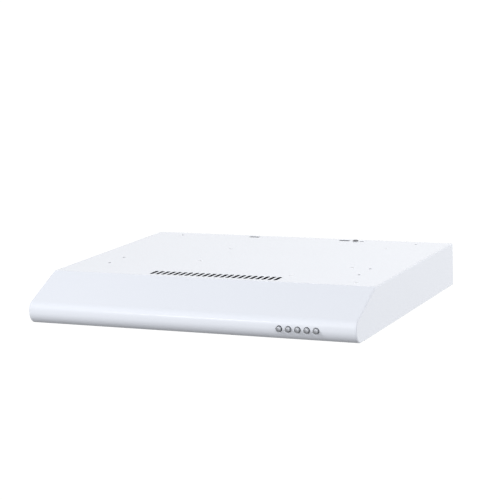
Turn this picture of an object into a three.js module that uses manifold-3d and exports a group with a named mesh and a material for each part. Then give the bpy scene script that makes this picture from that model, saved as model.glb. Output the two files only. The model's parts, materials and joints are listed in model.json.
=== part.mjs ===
// Under cabinet range hood, 600 mm wide, recirculating, with a push button panel in its nose.
//
// Units are millimetres. The pieces are laid out with X across the hood, Y from the nose at 0 to the
// wall side at DEPTH, and Z from the lower edge at 0 to the top plate at HEIGHT. The exported group
// then moves the origin into the top face, to the middle of the four outer cabinet screw holes.
import * as THREE from "three";
import { mergeVertices } from "three/addons/utils/BufferGeometryUtils.js";
import Module from "manifold-3d";

const wasm = await Module();
wasm.setup();

// ---- Driving dimensions -------------------------------------------------------------------------

const WIDTH = 600;
const DEPTH = 510;
const HEIGHT = 77;
const SHEET = 0.8; // painted steel sheet
const GAP = 0.3; // between pieces that touch

const FOLD_Y = 94; // where the sloping front meets the flat top
const NOSE_RADIUS = 20.5; // lower quarter of the rolled nose
const NOSE_TOP = { y: 11.6, z: 40 }; // where the rolled nose runs into the slope
const NOSE_PULL = [{ y: 0, z: 33.5 }, { y: 4.2, z: 36.7 }]; // handles of the fuller upper quarter
const LIP_END_Y = 34; // end of the lip that the nose turns under

const HALF_INSIDE = WIDTH / 2 - SHEET - GAP; // half the length of what fits between the side panels
const REAR_INNER_Y = DEPTH - SHEET - GAP;
const TOP_INNER_Z = HEIGHT - SHEET;
const FLANGE = 14; // inward flanges of the side panels
const HALF_UNDERSIDE = WIDTH / 2 - SHEET - FLANGE - GAP;

const SLOT_COUNT = 22;
const SLOT_PITCH = 11.05;
const SLOT = { width: 6.8, y: [105.2, 135] };

const CABINET_HOLE = { x: 238, y: [184, 239, 484], radius: 2.6 };
const PATTERN_CENTRE_Y = (CABINET_HOLE.y[0] + CABINET_HOLE.y[2]) / 2;
const REAR_SLOTS = { x: [[-100, -80], [84, 104.5]], y: [489.5, 499.5] };
const TIE_SLOT = { x: [124, 134], y: [489.6, 494.7] };
const CABLE = { x: 116, y: 494, holeRadius: 5.5, flangeRadius: 7.2, rise: 1.8 };

const SCREW = { hole: 3.8, head: 3.5, shank: 1.8, length: 8 };
const FAN_SCREWS = { front_left: [-84, 239], rear_left: [-82, 364], front_right: [129, 150] };
const CAPACITOR_SCREW = [204, 243];
const TERMINAL_SCREW = [199, 432];
const LOOM_SCREW = [256, 119];

const BUTTON_NAMES = ["off", "speed_1", "speed_2", "speed_3", "lamp"];
const BUTTON_PITCH = 16.1;
const BUTTON = { x: 198.9, z: 19.9, radius: 4.7, hole: 5.4, proud: 4.6, back: 5 };
const BUTTON_STEM = { radius: 2.2, end: 17.5 };
const SWITCH_BLOCK = { x: [158, 242.4], y: [12, 38], z: [11, 33] };

const TRAY_BACK_Y = 150;
const TRAY_WALL = 20;
const LENS = { x: 150, width: 110, y: [84, 136], margin: 6 };
const BULB = { radius: 12.5, z: 19, y: 110 };

const FILTER = { x: [1, 283.5], y: [152, 488], z: [1.5, 10.5], border: 12 };
const FILTER_PIVOT = { y: 490, z: 3.5 };
const LATCH_X = (FILTER.x[0] + FILTER.x[1]) / 2;
const LATCH = { half: 16.5, y: [158.3, 171], pocketEnd: 182, tip: 147 };

const FAN = { x: 0, y: 301.5 };
const SCROLL = { start: 82, end: 118, tongue: -60, wall: 2, outletY: 140.3, outletX: -60 };
const INLET = { radius: 62, z: [21.3, 23.3] };
const GUARD = { rings: [18, 41, 64], z: [19, 21] };
const WHEEL = { radius: 75, inner: 60, z: [28, 70], blades: 24 };
const MOTOR = { radius: 38, z: [26.3, 60], shaft: 3 };

// ---- Materials ----------------------------------------------------------------------------------

const finish = (color, roughness, metalness) =>
  new THREE.MeshStandardMaterial({ color, roughness, metalness });
const FINISH = {
  whitePaint: () => finish(0xf1f3f7, 0.22, 0),
  galvanised: () => finish(0xb9bdc2, 0.42, 0.9),
  chrome: () => finish(0xd8dadd, 0.08, 1),
  aluminium: () => finish(0xc4c7ca, 0.35, 0.9),
  blackPlastic: () => finish(0x1d1e20, 0.45, 0),
  greyPlastic: () => finish(0x8d9196, 0.5, 0),
  whitePlastic: () => finish(0xe9eaec, 0.4, 0),
  frosted: () => finish(0xf4f6f8, 0.3, 0),
  glass: () => finish(0xf7f4ea, 0.1, 0),
  carbon: () => finish(0x232426, 0.95, 0),
  rubber: () => finish(0x161616, 0.8, 0),
  zincSteel: () => finish(0xa9adb1, 0.35, 1),
};

// ---- Shape helpers ------------------------------------------------------------------------------

function solid(geometry) {
  const bare = new THREE.BufferGeometry();
  bare.setAttribute("position", geometry.getAttribute("position"));
  bare.setIndex(geometry.getIndex());
  const merged = mergeVertices(bare, 1e-4);
  return new wasm.Manifold(
    new wasm.Mesh({
      numProp: 3,
      vertProperties: new Float32Array(merged.attributes.position.array),
      triVerts: new Uint32Array(merged.index.array),
    }),
  );
}

const join = (...pieces) => pieces.reduce((sum, piece) => sum.add(piece));
const cut = (body, ...tools) => tools.reduce((left, tool) => left.subtract(tool), body);

function block([x0, x1], [y0, y1], [z0, z1]) {
  const box = new THREE.BoxGeometry(x1 - x0, y1 - y0, z1 - z0);
  box.translate((x0 + x1) / 2, (y0 + y1) / 2, (z0 + z1) / 2);
  return solid(box);
}

// A closed outline of [y, z] points carried along X.
function alongX(outline, [x0, x1]) {
  const shape = new THREE.Shape(outline.map(([y, z]) => new THREE.Vector2(y, z)));
  const extruded = new THREE.ExtrudeGeometry(shape, { depth: x1 - x0, bevelEnabled: false });
  const turn = new THREE.Matrix4().makeBasis(
    new THREE.Vector3(0, 1, 0),
    new THREE.Vector3(0, 0, 1),
    new THREE.Vector3(1, 0, 0),
  );
  extruded.applyMatrix4(turn).translate(x0, 0, 0);
  return solid(extruded);
}

// A closed outline of [x, y] points carried along Z.
function alongZ(outline, [z0, z1]) {
  const shape = new THREE.Shape(outline.map(([x, y]) => new THREE.Vector2(x, y)));
  const extruded = new THREE.ExtrudeGeometry(shape, { depth: z1 - z0, bevelEnabled: false });
  extruded.translate(0, 0, z0);
  return solid(extruded);
}

// A profile of [radius, height] points turned about an upright axis at x, y.
function turned(profile, [x, y] = [0, 0], segments = 24) {
  const points = profile.map(([r, h]) => new THREE.Vector2(r, h));
  const lathe = new THREE.LatheGeometry(points, segments);
  lathe.rotateX(Math.PI / 2).translate(x, y, 0);
  return solid(lathe);
}

const disc = (radius, z, at, segments = 24) =>
  turned([[0, z[0]], [radius, z[0]], [radius, z[1]], [0, z[1]]], at, segments);

const ring = (inner, outer, z, at, segments = 32) =>
  turned(
    [[inner, z[0]], [outer, z[0]], [outer, z[1]], [inner, z[1]], [inner, z[0]]],
    at,
    segments,
  );

// A plain round bar along Y, through x and z.
function barAlongY([x, z], [y0, y1], radius, segments = 20) {
  const bar = new THREE.CylinderGeometry(radius, radius, y1 - y0, segments);
  bar.translate(x, (y0 + y1) / 2, z);
  return solid(bar);
}

// A plain round bar along X, through y and z.
function barAlongX([x0, x1], [y, z], radius) {
  const bar = new THREE.CylinderGeometry(radius, radius, x1 - x0, 18);
  bar.rotateZ(Math.PI / 2).translate((x0 + x1) / 2, y, z);
  return solid(bar);
}

const TO_Y = [-90, 0, 0]; // turns an upright piece so that its top points to the wall side
const TO_X = [0, 90, 0]; // turns an upright piece so that its top points to the right

// An offset copy of an open path, on the right hand side of its direction.
function offsetPath(path, distance) {
  return path.map((point, i) => {
    const sides = [path[i - 1] && [path[i - 1], point], path[i + 1] && [point, path[i + 1]]];
    const normals = sides.filter(Boolean).map(([a, b]) => {
      const length = Math.hypot(b[0] - a[0], b[1] - a[1]);
      return [(b[1] - a[1]) / length, -(b[0] - a[0]) / length];
    });
    const [n, m] = [normals[0], normals[normals.length - 1]];
    const reach = distance / (1 + n[0] * m[0] + n[1] * m[1]);
    return [point[0] + (n[0] + m[0]) * reach, point[1] + (n[1] + m[1]) * reach];
  });
}

const sheetOutline = (path, thickness = SHEET) => [
  ...path,
  ...offsetPath(path, thickness).reverse(),
];

// A round wire through the given points.
function wire(points, radius, steps, sides) {
  const circle = new THREE.EllipseCurve(0, 0, radius, radius, 0, 2 * Math.PI);
  const section = new THREE.Shape(circle.getPoints(sides).slice(0, sides));
  const route = new THREE.CatmullRomCurve3(points.map((p) => new THREE.Vector3(...p)));
  return solid(new THREE.ExtrudeGeometry(section, { steps, extrudePath: route, bevelEnabled: false }));
}

// A compression spring along Y between two flat seats.
function coilSpring([x, z], [y0, y1], radius, wireRadius, turns) {
  const perTurn = 8;
  const count = turns * perTurn;
  const points = [];
  for (let i = 0; i <= count; i += 1) {
    const angle = (2 * Math.PI * i) / perTurn;
    const y = y0 + wireRadius * 1.5 + ((y1 - y0 - wireRadius * 3) * i) / count;
    points.push([x + radius * Math.cos(angle), y, z + radius * Math.sin(angle)]);
  }
  return wire(points, wireRadius, count, 4);
}

// ---- The assembly -------------------------------------------------------------------------------

const hood = new THREE.Group();
const assembly = new THREE.Group();
assembly.position.set(0, -PATTERN_CENTRE_Y, -HEIGHT);
hood.add(assembly);

function add(name, body, material, { at = [0, 0, 0], turn = [0, 0, 0] } = {}) {
  const { vertProperties, triVerts } = body.getMesh();
  const geometry = new THREE.BufferGeometry();
  geometry.setAttribute("position", new THREE.BufferAttribute(vertProperties, 3));
  geometry.setIndex(new THREE.BufferAttribute(triVerts, 1));
  geometry.computeVertexNormals();
  const mesh = new THREE.Mesh(geometry, material());
  mesh.name = name;
  mesh.position.set(...at);
  mesh.rotation.set(...turn.map(THREE.MathUtils.degToRad));
  assembly.add(mesh);
}

const SIDES = [
  { name: "left", sign: -1 },
  { name: "right", sign: 1 },
];

const mirrored = ([a, b], sign) => (sign > 0 ? [a, b] : [-b, -a]);

// ---- Outer casing -------------------------------------------------------------------------------

// The nose from the tangent point of its lower lip to the foot of the slope.
function noseCurve() {
  const lower = new THREE.Path();
  lower.absarc(NOSE_RADIUS, NOSE_RADIUS, NOSE_RADIUS, -Math.PI / 2, -Math.PI, true);
  const upper = new THREE.CubicBezierCurve(
    new THREE.Vector2(0, NOSE_RADIUS),
    new THREE.Vector2(NOSE_PULL[0].y, NOSE_PULL[0].z),
    new THREE.Vector2(NOSE_PULL[1].y, NOSE_PULL[1].z),
    new THREE.Vector2(NOSE_TOP.y, NOSE_TOP.z),
  );
  return [...lower.getPoints(5), ...upper.getPoints(8).slice(1)].map((p) => [p.x, p.y]);
}

function ventSlot(x) {
  const radius = SLOT.width / 2;
  const shape = new THREE.Path();
  shape.absarc(x, SLOT.y[1] - radius, radius, 0, Math.PI);
  shape.absarc(x, SLOT.y[0] + radius, radius, Math.PI, 2 * Math.PI);
  const outline = shape.getPoints(2).map((p) => [p.x, p.y]);
  return alongZ(outline, [HEIGHT - 2, HEIGHT + 1]);
}

const topHole = (at, radius, segments = 12) =>
  disc(radius, [HEIGHT - 2, HEIGHT + 1], at, segments);
const topCut = (x, y) => block(x, y, [HEIGHT - 2, HEIGHT + 1]);

function topFrontSkin() {
  const path = [[LIP_END_Y, 0], ...noseCurve(), [FOLD_Y, HEIGHT], [REAR_INNER_Y, HEIGHT]];
  const tools = [];
  for (let i = 0; i < SLOT_COUNT; i += 1) {
    tools.push(ventSlot((i - (SLOT_COUNT - 1) / 2) * SLOT_PITCH));
  }
  for (const y of CABINET_HOLE.y) {
    tools.push(topHole([CABINET_HOLE.x, y], CABINET_HOLE.radius));
    tools.push(topHole([-CABINET_HOLE.x, y], CABINET_HOLE.radius));
  }
  for (const at of [...Object.values(FAN_SCREWS), CAPACITOR_SCREW, TERMINAL_SCREW, LOOM_SCREW]) {
    tools.push(topHole(at, SCREW.hole));
  }
  tools.push(...REAR_SLOTS.x.map((x) => topCut(x, REAR_SLOTS.y)));
  tools.push(topCut(TIE_SLOT.x, TIE_SLOT.y));
  tools.push(topHole([CABLE.x, CABLE.y], CABLE.holeRadius, 16));
  for (const x of buttonPlaces()) {
    tools.push(barAlongY([x, BUTTON.z], [-1, 4], BUTTON.hole, 16));
  }
  const skin = alongX(sheetOutline(path), [-HALF_INSIDE, HALF_INSIDE]);
  add("top_front_skin", cut(skin, ...tools), FINISH.whitePaint);
}

function sidePanel({ name, sign }) {
  const outline = [...noseCurve(), [FOLD_Y, HEIGHT], [DEPTH, HEIGHT], [DEPTH, 0]];
  const half = WIDTH / 2;
  const wall = alongX(outline, mirrored([half - SHEET, half], sign));
  const inward = mirrored([half - SHEET - FLANGE, half - SHEET / 2], sign);
  const lower = block(inward, [LIP_END_Y + 2, REAR_INNER_Y], [0, SHEET]);
  const upperZ = TOP_INNER_Z - GAP;
  const upper = block(inward, [FOLD_Y + 8, REAR_INNER_Y], [upperZ - SHEET, upperZ]);
  add(`${name}_side_panel`, join(wall, lower, upper), FINISH.whitePaint);
}

function rearPanel() {
  const x = [-HALF_INSIDE, HALF_INSIDE];
  const wall = block(x, [DEPTH - SHEET, DEPTH], [0, HEIGHT]);
  const under = [-HALF_UNDERSIDE, HALF_UNDERSIDE];
  const lower = block(under, [DEPTH - FLANGE, DEPTH - SHEET / 2], [0, SHEET]);
  const upperZ = TOP_INNER_Z - GAP;
  const upper = block(under, [DEPTH - 8, DEPTH - SHEET / 2], [upperZ - SHEET, upperZ]);
  add("rear_panel", join(wall, lower, upper), FINISH.whitePaint);
}

// The pan that closes the underside behind the nose and carries the lamps and the switches.
function frontTray() {
  const lipTop = SHEET + GAP;
  const path = [
    [TRAY_BACK_Y - 10, TRAY_WALL],
    [TRAY_BACK_Y, TRAY_WALL],
    [TRAY_BACK_Y, 0],
    [LIP_END_Y + 2, 0],
    [LIP_END_Y + 1, lipTop],
    [LIP_END_Y - 10, lipTop],
  ];
  const tools = SIDES.flatMap(({ sign }) => {
    const window = mirrored([LENS.x - LENS.width / 2, LENS.x + LENS.width / 2], sign);
    const notch = mirrored([LATCH_X - 13, LATCH_X + 13], sign);
    return [
      block(window, LENS.y, [-1, 2]),
      block(notch, [TRAY_BACK_Y - 2, TRAY_BACK_Y + 1], [-1, 9.5]),
    ];
  });
  const pan = alongX(sheetOutline(path), [-HALF_UNDERSIDE, HALF_UNDERSIDE]);
  add("front_tray", cut(pan, ...tools), FINISH.whitePaint);
}

// The angle above the rear flange that the filters' rear tabs turn under.
function rearFilterRail() {
  const z = [SHEET + GAP, 18];
  const back = DEPTH - SHEET - GAP;
  const outline = [
    [back, z[0]],
    [back, z[1]],
    [back - 14, z[1]],
    [back - 14, z[1] - 4],
    [back - 14 + SHEET, z[1] - 4],
    [back - 14 + SHEET, z[1] - SHEET],
    [back - SHEET, z[1] - SHEET],
    [back - SHEET, z[0]],
  ];
  add("rear_filter_rail", alongX(outline, [-HALF_UNDERSIDE, HALF_UNDERSIDE]), FINISH.galvanised);
}

// The T bar over the joint between the two filters.
function centreRib() {
  const y = [TRAY_BACK_Y + GAP, DEPTH - 16];
  const foot = block([-13, 13], y, [11.4, 12.2]);
  const web = block([-0.4, 0.4], y, [12, GUARD.z[0] - GAP]);
  add("centre_rib", join(foot, web), FINISH.galvanised);
}

// ---- Screws through the top plate ---------------------------------------------------------------

function topScrew(name, at) {
  const top = HEIGHT - 0.15;
  const profile = [
    [0, top - SCREW.length],
    [SCREW.shank, top - SCREW.length],
    [SCREW.shank, HEIGHT - SHEET],
    [SCREW.head, HEIGHT - SHEET + 0.1],
    [SCREW.head, top],
    [0, top],
  ];
  const slotHalf = 0.5;
  const cross = [
    block([at[0] - 2, at[0] + 2], [at[1] - slotHalf, at[1] + slotHalf], [top - 0.4, top + 1]),
    block([at[0] - slotHalf, at[0] + slotHalf], [at[1] - 2, at[1] + 2], [top - 0.4, top + 1]),
  ];
  add(name, cut(turned(profile, at, 12), ...cross), FINISH.zincSteel);
}

function topScrews() {
  for (const [place, at] of Object.entries(FAN_SCREWS)) {
    topScrew(`fan_screw_${place}`, at);
  }
  topScrew("capacitor_screw", CAPACITOR_SCREW);
  topScrew("terminal_box_screw", TERMINAL_SCREW);
  topScrew("loom_clip_screw", LOOM_SCREW);
}

// ---- Fan ----------------------------------------------------------------------------------------

// The scroll: a spiral that opens clockwise from the tongue, then a straight run to the outlet.
function scrollOutline(inset = 0) {
  const points = [];
  const steps = 28;
  const sweep = 360 + SCROLL.tongue;
  for (let i = 0; i <= steps; i += 1) {
    const angle = THREE.MathUtils.degToRad(SCROLL.tongue - (sweep * i) / steps);
    const radius = SCROLL.start * (SCROLL.end / SCROLL.start) ** (i / steps) - inset;
    points.push([FAN.x + radius * Math.cos(angle), FAN.y + radius * Math.sin(angle)]);
  }
  const mouth = SCROLL.outletY - 2 * inset;
  points.push([FAN.x + SCROLL.end - inset, mouth]);
  points.push([SCROLL.outletX + inset, mouth]);
  return points;
}

const lugHole = (at) => disc(SCREW.shank + GAP, [60, HEIGHT], at, 12);

// A lug flat against the top plate, with a strap that reaches in to the scroll wall.
function voluteLug(at, z) {
  const inward = THREE.MathUtils.radToDeg(Math.atan2(FAN.y - at[1], FAN.x - at[0]));
  const strap = block([0, 18], [-7, 7], z).rotate([0, 0, inward]).translate([at[0], at[1], 0]);
  return join(disc(8, z, at, 16), strap);
}

function fanVolute() {
  const roofTop = TOP_INNER_Z - GAP;
  const outside = alongZ(scrollOutline(), [INLET.z[1] + GAP, roofTop]);
  const inside = alongZ(scrollOutline(SCROLL.wall), [0, roofTop - SCROLL.wall]);
  const places = Object.values(FAN_SCREWS);
  const lugs = places.map((at) => voluteLug(at, [roofTop - 4, roofTop]));
  const shell = cut(join(outside, ...lugs), inside, ...places.map(lugHole));
  add("fan_volute", shell, FINISH.greyPlastic);
}

function fanInletPlate() {
  const mouth = disc(INLET.radius, [0, 60], [FAN.x, FAN.y], 32);
  const plate = alongZ(scrollOutline(), INLET.z);
  add("fan_inlet_plate", cut(plate, mouth), FINISH.greyPlastic);
}

function inletGuard() {
  const at = [FAN.x, FAN.y];
  const rings = GUARD.rings.map((radius) => ring(radius - 1, radius + 1, GUARD.z, at, 20));
  const spoke = (angle) =>
    block([15, 68], [-1.2, 1.2], GUARD.z).rotate([0, 0, angle]).translate([FAN.x, FAN.y, 0]);
  const spokes = [30, 90, 150, 210, 270, 330].map(spoke);
  add("inlet_guard", join(...rings, ...spokes), FINISH.blackPlastic);
}

// Three arms that carry the motor in the middle of the inlet.
function motorBracket() {
  const z = [INLET.z[1] + GAP, MOTOR.z[0] - GAP];
  const hub = ring(20, 44, z, [FAN.x, FAN.y]);
  const arms = [90, 210, 330].map((angle) =>
    block([40, 74], [-6, 6], z).rotate([0, 0, angle]).translate([FAN.x, FAN.y, 0]),
  );
  add("motor_bracket", join(hub, ...arms), FINISH.galvanised);
}

function motor() {
  const [z0, z1] = MOTOR.z;
  const bore = MOTOR.shaft + GAP;
  const profile = [
    [0, z0],
    [16, z0],
    [30, z0 + 3],
    [MOTOR.radius - 3, z0 + 9],
    [MOTOR.radius, z0 + 9],
    [MOTOR.radius, z1 - 9],
    [MOTOR.radius - 3, z1 - 9],
    [30, z1 - 3],
    [10, z1],
    [bore, z1],
    [bore, z0 + 12],
    [0, z0 + 12],
  ];
  add("fan_motor", turned(profile, [FAN.x, FAN.y], 28), FINISH.zincSteel);
}

function motorShaft() {
  add("fan_shaft", disc(MOTOR.shaft, [40, 71.5], [FAN.x, FAN.y], 12), FINISH.zincSteel);
}

function bladeOutline() {
  const lean = 0.16;
  const outer = (r, a) => [r * Math.cos(a), r * Math.sin(a)];
  return [
    outer(WHEEL.inner, 0),
    outer(WHEEL.inner + 8, lean * 0.25),
    outer(WHEEL.radius - 0.6, lean),
    outer(WHEEL.radius - 0.6, lean + 0.018),
    outer(WHEEL.inner + 7, lean * 0.25 + 0.03),
    outer(WHEEL.inner, 0.02),
  ];
}

function fanWheel() {
  const [z0, z1] = WHEEL.z;
  const at = [FAN.x, FAN.y];
  const plate = ring(MOTOR.shaft + GAP, WHEEL.radius, [z1 - 2, z1], at, 36);
  const boss = ring(MOTOR.shaft + GAP, 9, [z1 - 8, z1 - 1], at, 16);
  const rim = ring(WHEEL.radius - 4, WHEEL.radius, [z0, z0 + 3], at, 36);
  const one = alongZ(bladeOutline(), [z0 + 1, z1 - 1]);
  const blades = [];
  for (let i = 0; i < WHEEL.blades; i += 1) {
    blades.push(one.rotate([0, 0, (360 * i) / WHEEL.blades]).translate([FAN.x, FAN.y, 0]));
  }
  add("fan_wheel", join(plate, boss, rim, ...blades), FINISH.blackPlastic);
}

function wheelNut() {
  const hexagon = [0, 60, 120, 180, 240, 300].map((angle) => {
    const turn = THREE.MathUtils.degToRad(angle);
    return [FAN.x + 5.5 * Math.cos(turn), FAN.y + 5.5 * Math.sin(turn)];
  });
  const z = [WHEEL.z[1] + GAP, 73];
  const bore = disc(MOTOR.shaft + GAP, [60, 72], [FAN.x, FAN.y], 12);
  add("wheel_nut", cut(alongZ(hexagon, z), bore), FINISH.zincSteel);
}

// The box under the vent slots that turns the air up and out.
function outletPlenum() {
  const x = [-122, 122];
  const y = [FOLD_Y + 6, SCROLL.outletY - GAP];
  const z = [38.5, TOP_INNER_Z - GAP];
  const wall = 1.5;
  const inner = block([x[0] + wall, x[1] - wall], [y[0] + wall, y[1] - wall], [z[0] + wall, z[1] + 1]);
  const rearMouth = block(
    [SCROLL.outletX + SCROLL.wall, SCROLL.end - SCROLL.wall],
    [y[1] - 3, y[1] + 1],
    [z[0] + wall, z[1] - SCROLL.wall],
  );
  const screwRoom = block([118, 126], [138, 142], [60, HEIGHT]);
  add("outlet_plenum", cut(block(x, y, z), inner, rearMouth, screwRoom), FINISH.blackPlastic);
}

// ---- Electrical parts ---------------------------------------------------------------------------

function capacitor() {
  const [x, y] = [CAPACITOR_SCREW[0] - 24, CAPACITOR_SCREW[1]];
  const radius = 14;
  const z = 56;
  const can = barAlongY([x, z], [y - 22, y + 30], radius);
  const stud = barAlongY([x, z], [y + 29, y + 36], 4, 12);
  add("motor_capacitor", join(can, stud), FINISH.whitePlastic);
  const strapTop = TOP_INNER_Z - GAP;
  const strap = cut(
    join(
      barAlongY([x, z], [y - 6, y + 6], radius + 1.4, 24),
      block([x, x + 33], [y - 6, y + 6], [strapTop - 1.2, strapTop]),
      block([x + 14, x + 15.4], [y - 6, y + 6], [z, strapTop]),
    ),
    barAlongY([x, z], [y - 7, y + 7], radius + GAP, 24),
    lugHole(CAPACITOR_SCREW),
  );
  add("capacitor_clip", strap, FINISH.galvanised);
}

function terminalBox() {
  const [cx, cy] = TERMINAL_SCREW;
  const x = [cx - 32, cx + 32];
  const y = [cy - 24, cy + 24];
  const z = [46, TOP_INNER_Z - GAP];
  const wall = 2;
  const hollow = block([x[0] + wall, x[1] - wall], [y[0] + wall, y[1] - wall], [0, z[1] - wall]);
  const entry = barAlongY([cx - 20, 58], [y[1] - 5, y[1] + 5], 5, 16);
  add("terminal_box", cut(block(x, y, z), hollow, entry, lugHole(TERMINAL_SCREW)), FINISH.blackPlastic);
  const lid = join(
    block(x, y, [z[0] - GAP - 2, z[0] - GAP]),
    block([x[0] + 3, x[1] - 3], [y[0] + 3, y[1] - 3], [z[0] - GAP - 1, z[0] + 3]),
  );
  const pocket = block([x[0] + 5, x[1] - 5], [y[0] + 5, y[1] - 5], [z[0] - 1, z[0] + 4]);
  add("terminal_box_lid", cut(lid, pocket), FINISH.blackPlastic);
  const terminals = block([cx - 22, cx + 22], [cy - 8, cy + 8], [52, 64]);
  const ways = [-15, -5, 5, 15].map((dx) =>
    block([cx + dx - 3, cx + dx + 3], [cy - 9, cy + 9], [56, 61]),
  );
  add("terminal_block", cut(terminals, ...ways), FINISH.whitePlastic);
}

// The bushing that the mains lead leaves through.
function cableGland() {
  const neck = CABLE.holeRadius - GAP;
  const under = TOP_INNER_Z - GAP;
  const profile = [
    [3.6, under - 6],
    [CABLE.flangeRadius, under - 6],
    [CABLE.flangeRadius, under],
    [neck, under],
    [neck, HEIGHT + GAP],
    [CABLE.flangeRadius - 1, HEIGHT + GAP],
    [CABLE.flangeRadius - 2, HEIGHT + CABLE.rise],
    [3.6, HEIGHT + CABLE.rise],
    [3.6, under - 6],
  ];
  add("cable_gland", turned(profile, [CABLE.x, CABLE.y], 20), FINISH.rubber);
}

// The bundle of internal wires from the switches to the terminal box, and its clip.
function wiringLoom() {
  const [cx, cy] = LOOM_SCREW;
  const route = [
    [232, 40, 24],
    [236, 50, 26],
    [250, 78, 44],
    [cx - 1, cy - 20, 62],
    [cx - 1, cy, 66],
    [cx - 3, cy + 40, 67],
    [cx - 8, 250, 66],
    [cx - 8, 340, 64],
    [cx - 9, 400, 61],
    [cx - 12, 430, 60],
    [cx - 17, 438, 60],
    [TERMINAL_SCREW[0] + 34, 438, 60],
  ];
  add("wiring_loom", wire(route, 3, 32, 8), FINISH.whitePlastic);
  const top = TOP_INNER_Z - GAP;
  const clip = cut(
    block([cx - 7, cx + 7], [cy - 5, cy + 5], [60.6, top]),
    block([cx - 5.6, cx + 5.6], [cy - 6, cy + 6], [62, 71.5]),
    lugHole(LOOM_SCREW),
  );
  add("loom_clip", clip, FINISH.whitePlastic);
}

function switchBlock() {
  const body = block(SWITCH_BLOCK.x, SWITCH_BLOCK.y, SWITCH_BLOCK.z);
  const sockets = buttonPlaces().map((x) =>
    barAlongY([x, BUTTON.z], [SWITCH_BLOCK.y[0] - 1, SWITCH_BLOCK.y[0] + 12], BUTTON_STEM.radius + GAP, 12),
  );
  add("switch_block", cut(body, ...sockets), FINISH.blackPlastic);
  const back = SWITCH_BLOCK.y[1] + GAP;
  const x = [SWITCH_BLOCK.x[0] - 4, SWITCH_BLOCK.x[1] + 4];
  const foot = SHEET + GAP;
  const bracket = cut(
    join(
      block(x, [back, back + SHEET], [foot, 34]),
      block(x, [back, back + 16], [foot, foot + SHEET]),
    ),
    block([224, 240], [back - 1, back + 2], [18, 30]),
  );
  add("switch_bracket", bracket, FINISH.galvanised);
}

// ---- Push buttons -------------------------------------------------------------------------------

function buttonPlaces() {
  const middle = (BUTTON_NAMES.length - 1) / 2;
  return BUTTON_NAMES.map((_, i) => BUTTON.x + (i - middle) * BUTTON_PITCH);
}

// A cap with a rounded rim on a slim stem, drawn from its face at the front to the stem's end.
function pushButton(name, x) {
  const rim = 0.9;
  const profile = [
    [0, -BUTTON.proud],
    [BUTTON.radius - rim, -BUTTON.proud],
    [BUTTON.radius - 0.3 * rim, -BUTTON.proud + 0.3 * rim],
    [BUTTON.radius, -BUTTON.proud + rim],
    [BUTTON.radius, BUTTON.back],
    [BUTTON_STEM.radius, BUTTON.back],
    [BUTTON_STEM.radius, BUTTON_STEM.end],
    [0, BUTTON_STEM.end],
  ];
  add(`button_${name}`, turned(profile, [0, 0], 20), FINISH.chrome, {
    at: [x, 0, BUTTON.z],
    turn: TO_Y,
  });
  const span = [BUTTON.back + GAP, SWITCH_BLOCK.y[0] - GAP];
  const spring = coilSpring([x, BUTTON.z], span, 3.5, 0.35, 3);
  add(`button_spring_${name}`, spring, FINISH.zincSteel);
}

// ---- Lamps --------------------------------------------------------------------------------------

function lamp({ name, sign }) {
  const z = [SHEET + GAP, SHEET + GAP + 1.6];
  const lensX = [LENS.x - LENS.width / 2, LENS.x + LENS.width / 2];
  const grown = (range, by) => [range[0] - by, range[1] + by];
  const plate = block(mirrored(grown(lensX, LENS.margin), sign), grown(LENS.y, LENS.margin), z);
  const boss = block(mirrored(grown(lensX, -GAP), sign), grown(LENS.y, -GAP), [0.1, z[1]]);
  const pocket = block(mirrored(grown(lensX, -2.5), sign), grown(LENS.y, -2.5), [1.7, z[1] + 1]);
  add(`lamp_lens_${name}`, cut(join(plate, boss), pocket), FINISH.frosted);

  // The bulb lies along X with its cap in the holder, at the outer end of the lens.
  const mouth = LENS.x + 34;
  const bulbProfile = [
    [0, 0],
    [5, 0.6],
    [9.5, 3],
    [BULB.radius, 8],
    [BULB.radius, 52],
    [8.5, 62],
    [6.8, 66],
    [6.8, 84],
    [3, 87],
    [0, 87],
  ];
  const tip = mouth - 66;
  add(`lamp_bulb_${name}`, turned(bulbProfile, [0, 0], 18), FINISH.glass, {
    at: [sign * tip, BULB.y, BULB.z],
    turn: TO_X.map((angle) => sign * angle),
  });
  const shellX = mirrored([mouth, mouth + 30], sign);
  const well = mirrored([mouth - 1, mouth + 23], sign);
  const side = [BULB.y - 11, BULB.y + 11];
  const foot = [LENS.y[0] - LENS.margin - 3, LENS.y[1] + LENS.margin + 3];
  const holder = cut(
    join(
      block(shellX, side, [BULB.z - 11, BULB.z + 11]),
      block(mirrored([mouth + 28, mouth + 40], sign), foot, [SHEET + GAP, SHEET + GAP + 1.5]),
      block(mirrored([mouth + 28, mouth + 30], sign), side, [SHEET + GAP, BULB.z]),
    ),
    barAlongX(well, [BULB.y, BULB.z], 7.4),
  );
  add(`lamp_holder_${name}`, holder, FINISH.whitePlastic);
}

// ---- Filters ------------------------------------------------------------------------------------

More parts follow.
